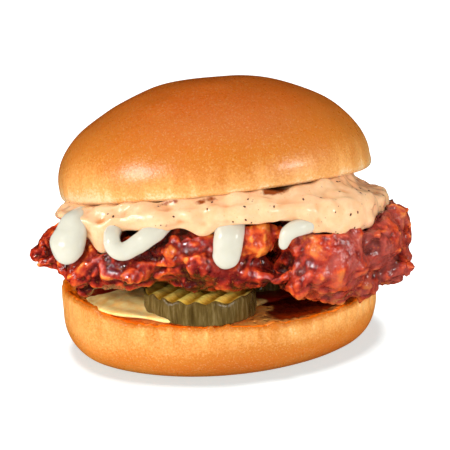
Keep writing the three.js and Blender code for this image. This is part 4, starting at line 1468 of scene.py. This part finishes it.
# ---- settings ------------------------------------------------------------------------------
class BunSettings(bpy.types.PropertyGroup):
    """Sizes and colours of the bun."""

    wrinkles: length_setting("Wrinkles", "Height of the wrinkles under the heel's rim", 0.65)
    gloss_low: strength_setting(
        "Least roughness", "Roughness of the crust where it shines most", 0.27)
    gloss_high: strength_setting(
        "Most roughness", "Roughness of the crust where it shines least", 0.36)
    pale: colour_setting("Pale crust", "Crust that was hardly browned", 240, 208, 158)
    light: colour_setting("Light crust", "Lightly browned crust", 229, 164, 88)
    golden: colour_setting("Golden crust", "Golden crust", 199, 116, 36)
    brown: colour_setting("Brown crust", "Well browned crust", 198, 92, 16)
    cut_face: colour_setting("Cut face", "Soft toasted crumb", 248, 176, 92)
    toasted: colour_setting("Toasted", "Toasted crumb near the rim", 250, 118, 8)
    singed: colour_setting("Singed", "The darkest toasted edge", 160, 54, 8)
    # Painted shade: the darker soaked colour is painted inward from the rim, under the chicken.
    soaked_dark: colour_setting("Soaked, dark", "Crumb soaked with glaze, darkest", 104, 14, 6)
    soaked_light: colour_setting("Soaked, light", "Crumb soaked with glaze, lightest", 214, 72, 8)


class ChickenSettings(bpy.types.PropertyGroup):
    """Crags and colours of the fried chicken."""

    crags: count_setting("Crags", "Eggs of crust strewn over each piece", 420, 3000)
    crag_size: length_setting("Crag size", "Radius of an ordinary crag", 2.7)
    # Painted shade: the crease and deep red colours are painted on the low places among the crags;
    # the crease colour also marks dark flecks of crust.
    crease: colour_setting("Crease", "Glaze down in the creases", 52, 7, 5)
    deep: colour_setting("Deep red", "Glaze low on the crags", 100, 14, 8)
    red: colour_setting("Red", "Glaze on the sides of the crags", 158, 39, 16)
    orange: colour_setting("Orange", "Glaze on the crags", 202, 79, 24)
    amber: colour_setting("Amber", "Thin glaze over crisp crust", 226, 128, 46)
    plum: colour_setting("Plum", "Cooler red of thick glaze", 112, 24, 24)
    # Painted sheen: the rose is painted over the right piece.
    rose: colour_setting("Rose", "Milky glaze at the right", 154, 70, 60)


class SauceSettings(bpy.types.PropertyGroup):
    """Colours of the sauces and the spread."""

    spiced: colour_setting("Spiced sauce", "Peach mayonnaise", 234, 181, 134)
    spiced_pale: colour_setting("Spiced sauce, pale", "Peach mayonnaise, whipped", 240, 199, 154)
    # Painted shade: this colour is painted into the hollows of the folds.
    spiced_deep: colour_setting("Spiced sauce, deep", "Its folds", 216, 140, 80)
    spice: colour_setting("Spice", "Fine red spice in the sauce", 206, 108, 50)
    # Painted shadow: this colour also paints the shadow along the crown's rim, besides red oil.
    oil: colour_setting("Oil", "Red oil that gathers under the crown", 140, 62, 16)
    pepper: colour_setting("Pepper", "Ground pepper", 96, 52, 26)
    flecks: count_setting("Pepper flecks", "Flecks of pepper on the spiced sauce", 260, 2000)
    white: colour_setting("White sauce", "White mayonnaise", 204, 202, 188)
    white_shade: colour_setting("White sauce, thin", "White mayonnaise, thin", 196, 192, 172)
    spread: colour_setting("Spread", "Cream spread on the heel", 255, 220, 144)
    spread_deep: colour_setting("Spread, deep", "Cream spread stirred with glaze", 255, 196, 108)
    # Painted shade: this colour is also painted on the spread under the chicken, besides glaze.
    glaze: colour_setting("Glaze", "Glaze that ran onto the spread", 128, 22, 6)


class PickleSettings(bpy.types.PropertyGroup):
    """Colours of the pickle chips."""

    rind: colour_setting("Rind", "Side of a chip", 94, 74, 34)
    rind_dark: colour_setting("Rind, dark", "Dark streaks of the side", 66, 48, 14)
    rind_light: colour_setting("Rind, light", "Light streaks of the side", 124, 104, 62)
    # Painted light on the crests and painted shade in the valleys, the flesh between.
    flesh: colour_setting("Flesh", "Cut face of a chip", 244, 198, 82)
    crest: colour_setting("Crest", "Crests of the cut ridges", 255, 228, 112)
    valley: colour_setting("Valley", "Valleys of the cut ridges", 200, 148, 36)


class StageSettings(bpy.types.PropertyGroup):
    """Floor, lights and camera."""

    floor: colour_setting("Floor", "Pale floor", 226, 226, 226)
    # Painted shadow: the floor glows dimmer and cooler near the sandwich, a tint that offsets the
    # warm bounce, and brighter and white away from it.
    cool: colour_setting("Glow colour", "Cool glow that offsets the bread's warm bounce",
                         226, 252, 255)
    glow: strength_setting("Floor glow", "Light that comes up through the floor", 0.62)
    glow_away: strength_setting("Far floor glow", "The same, away from the sandwich", 1.0)
    sky: strength_setting("Sky light", "Strength of the even light from all round", 0.14)
    overhead: power_setting("Overhead light", "Power of the large overhead light", 6.9)
    front_fill: power_setting("Front fill", "Power of the low light beside the camera", 3.1)
    right_fill: power_setting("Right fill", "Power of the broad light at the right", 2.35)
    left_fill: power_setting("Left fill", "Power of the low broad light at the left", 2.4)
    left_front: power_setting("Left light", "Power of the left front light", 3.1)
    right: power_setting("Right light", "Power of the right light", 1.3)
    floor_light: power_setting("Floor light", "Power of the light behind the heel's shadow", 8.0)
    glaze_light: power_setting("Glaze light", "Power of the light that the glaze mirrors", 4.6)
    lens: FloatProperty(
        name="Lens", description="Focal length of the camera", default=142.08, min=10.0,
        unit="CAMERA")


# ---- operators -----------------------------------------------------------------------------
class SANDWICH_OT_stage(bpy.types.Operator):
    """Lay the pale floor, hang the soft lights and set up the camera."""

    bl_idname = "sandwich.stage"
    bl_label = "Build the stage"

    def execute(self, context):
        settings = context.scene.sandwich_stage
        floor = make_floor(settings)
        make_sky(settings)
        hang_lights(floor, settings)
        set_camera(settings)
        context.scene.view_settings.view_transform = "Standard"
        return {"FINISHED"}


class SANDWICH_OT_bun(bpy.types.Operator):
    """Bake the crown and the heel of the bun."""

    bl_idname = "sandwich.bun"
    bl_label = "Bake the bun"

    def execute(self, context):
        settings = context.scene.sandwich_bun
        make_heel(settings)
        make_crown(settings)
        return {"FINISHED"}


class SANDWICH_OT_spread(bpy.types.Operator):
    """Spread the heel."""

    bl_idname = "sandwich.spread"
    bl_label = "Spread the heel"

    def execute(self, context):
        make_spread(context.scene.sandwich_sauce)
        return {"FINISHED"}


class SANDWICH_OT_pickles(bpy.types.Operator):
    """Cut and lay the three pickle chips."""

    bl_idname = "sandwich.pickles"
    bl_label = "Lay the pickles"

    def execute(self, context):
        material = make_pickle_finish(context.scene.sandwich_pickle)
        for number, (name, chip) in enumerate(CHIPS.items()):
            make_chip(name, material, seed=number, **chip)
        return {"FINISHED"}


class SANDWICH_OT_chicken(bpy.types.Operator):
    """Fry and glaze the two pieces of chicken."""

    bl_idname = "sandwich.chicken"
    bl_label = "Fry the chicken"

    def execute(self, context):
        settings = context.scene.sandwich_chicken
        material = make_chicken_finish(settings)
        for node, seed in CHICKEN_SEEDS.items():
            make_chicken(node, material, seed, settings)
        return {"FINISHED"}


class SANDWICH_OT_sauces(bpy.types.Operator):
    """Pipe the white sauce and lay the spiced sauce with its pepper."""

    bl_idname = "sandwich.sauces"
    bl_label = "Add the sauces"

    def execute(self, context):
        settings = context.scene.sandwich_sauce
        white = make_white_finish(settings)
        for number, (name, loop) in enumerate(LOOPS.items()):
            make_bead(name, white, seed=number, **loop)
        layer = make_spiced_sauce(settings)
        make_pepper(layer.data, settings)
        return {"FINISHED"}


class SANDWICH_PT_panel(bpy.types.Panel):
    """Lists the steps of the sandwich with their sizes and colours."""

    bl_idname = "SANDWICH_PT_panel"
    bl_label = "Sandwich"
    bl_space_type = "VIEW_3D"
    bl_region_type = "UI"
    bl_category = "Sandwich"

    def draw(self, context):
        for operator, group in STEPS:
            column = self.layout.column(align=True)
            column.operator(operator.bl_idname)
            settings = getattr(context.scene, group)
            for key in settings.bl_rna.properties.keys():
                if key not in ("rna_type", "name"):
                    column.prop(settings, key)


STEPS = [
    (SANDWICH_OT_stage, "sandwich_stage"),
    (SANDWICH_OT_bun, "sandwich_bun"),
    (SANDWICH_OT_spread, "sandwich_sauce"),
    (SANDWICH_OT_pickles, "sandwich_pickle"),
    (SANDWICH_OT_chicken, "sandwich_chicken"),
    (SANDWICH_OT_sauces, "sandwich_sauce"),
]
GROUPS = {
    "sandwich_stage": StageSettings,
    "sandwich_bun": BunSettings,
    "sandwich_pickle": PickleSettings,
    "sandwich_chicken": ChickenSettings,
    "sandwich_sauce": SauceSettings,
}


def register():
    for group in GROUPS.values():
        bpy.utils.register_class(group)
    for name, group in GROUPS.items():
        setattr(bpy.types.Scene, name, PointerProperty(type=group))
    for operator, _ in STEPS:
        bpy.utils.register_class(operator)
    bpy.utils.register_class(SANDWICH_PT_panel)


def unregister():
    bpy.utils.unregister_class(SANDWICH_PT_panel)
    for operator, _ in reversed(STEPS):
        bpy.utils.unregister_class(operator)
    for name, group in GROUPS.items():
        delattr(bpy.types.Scene, name)
        bpy.utils.unregister_class(group)


def main():
    register()
    bpy.ops.sandwich.stage()
    bpy.ops.sandwich.bun()
    bpy.ops.sandwich.spread()
    bpy.ops.sandwich.pickles()
    bpy.ops.sandwich.chicken()
    bpy.ops.sandwich.sauces()


if __name__ == "__main__":
    main()
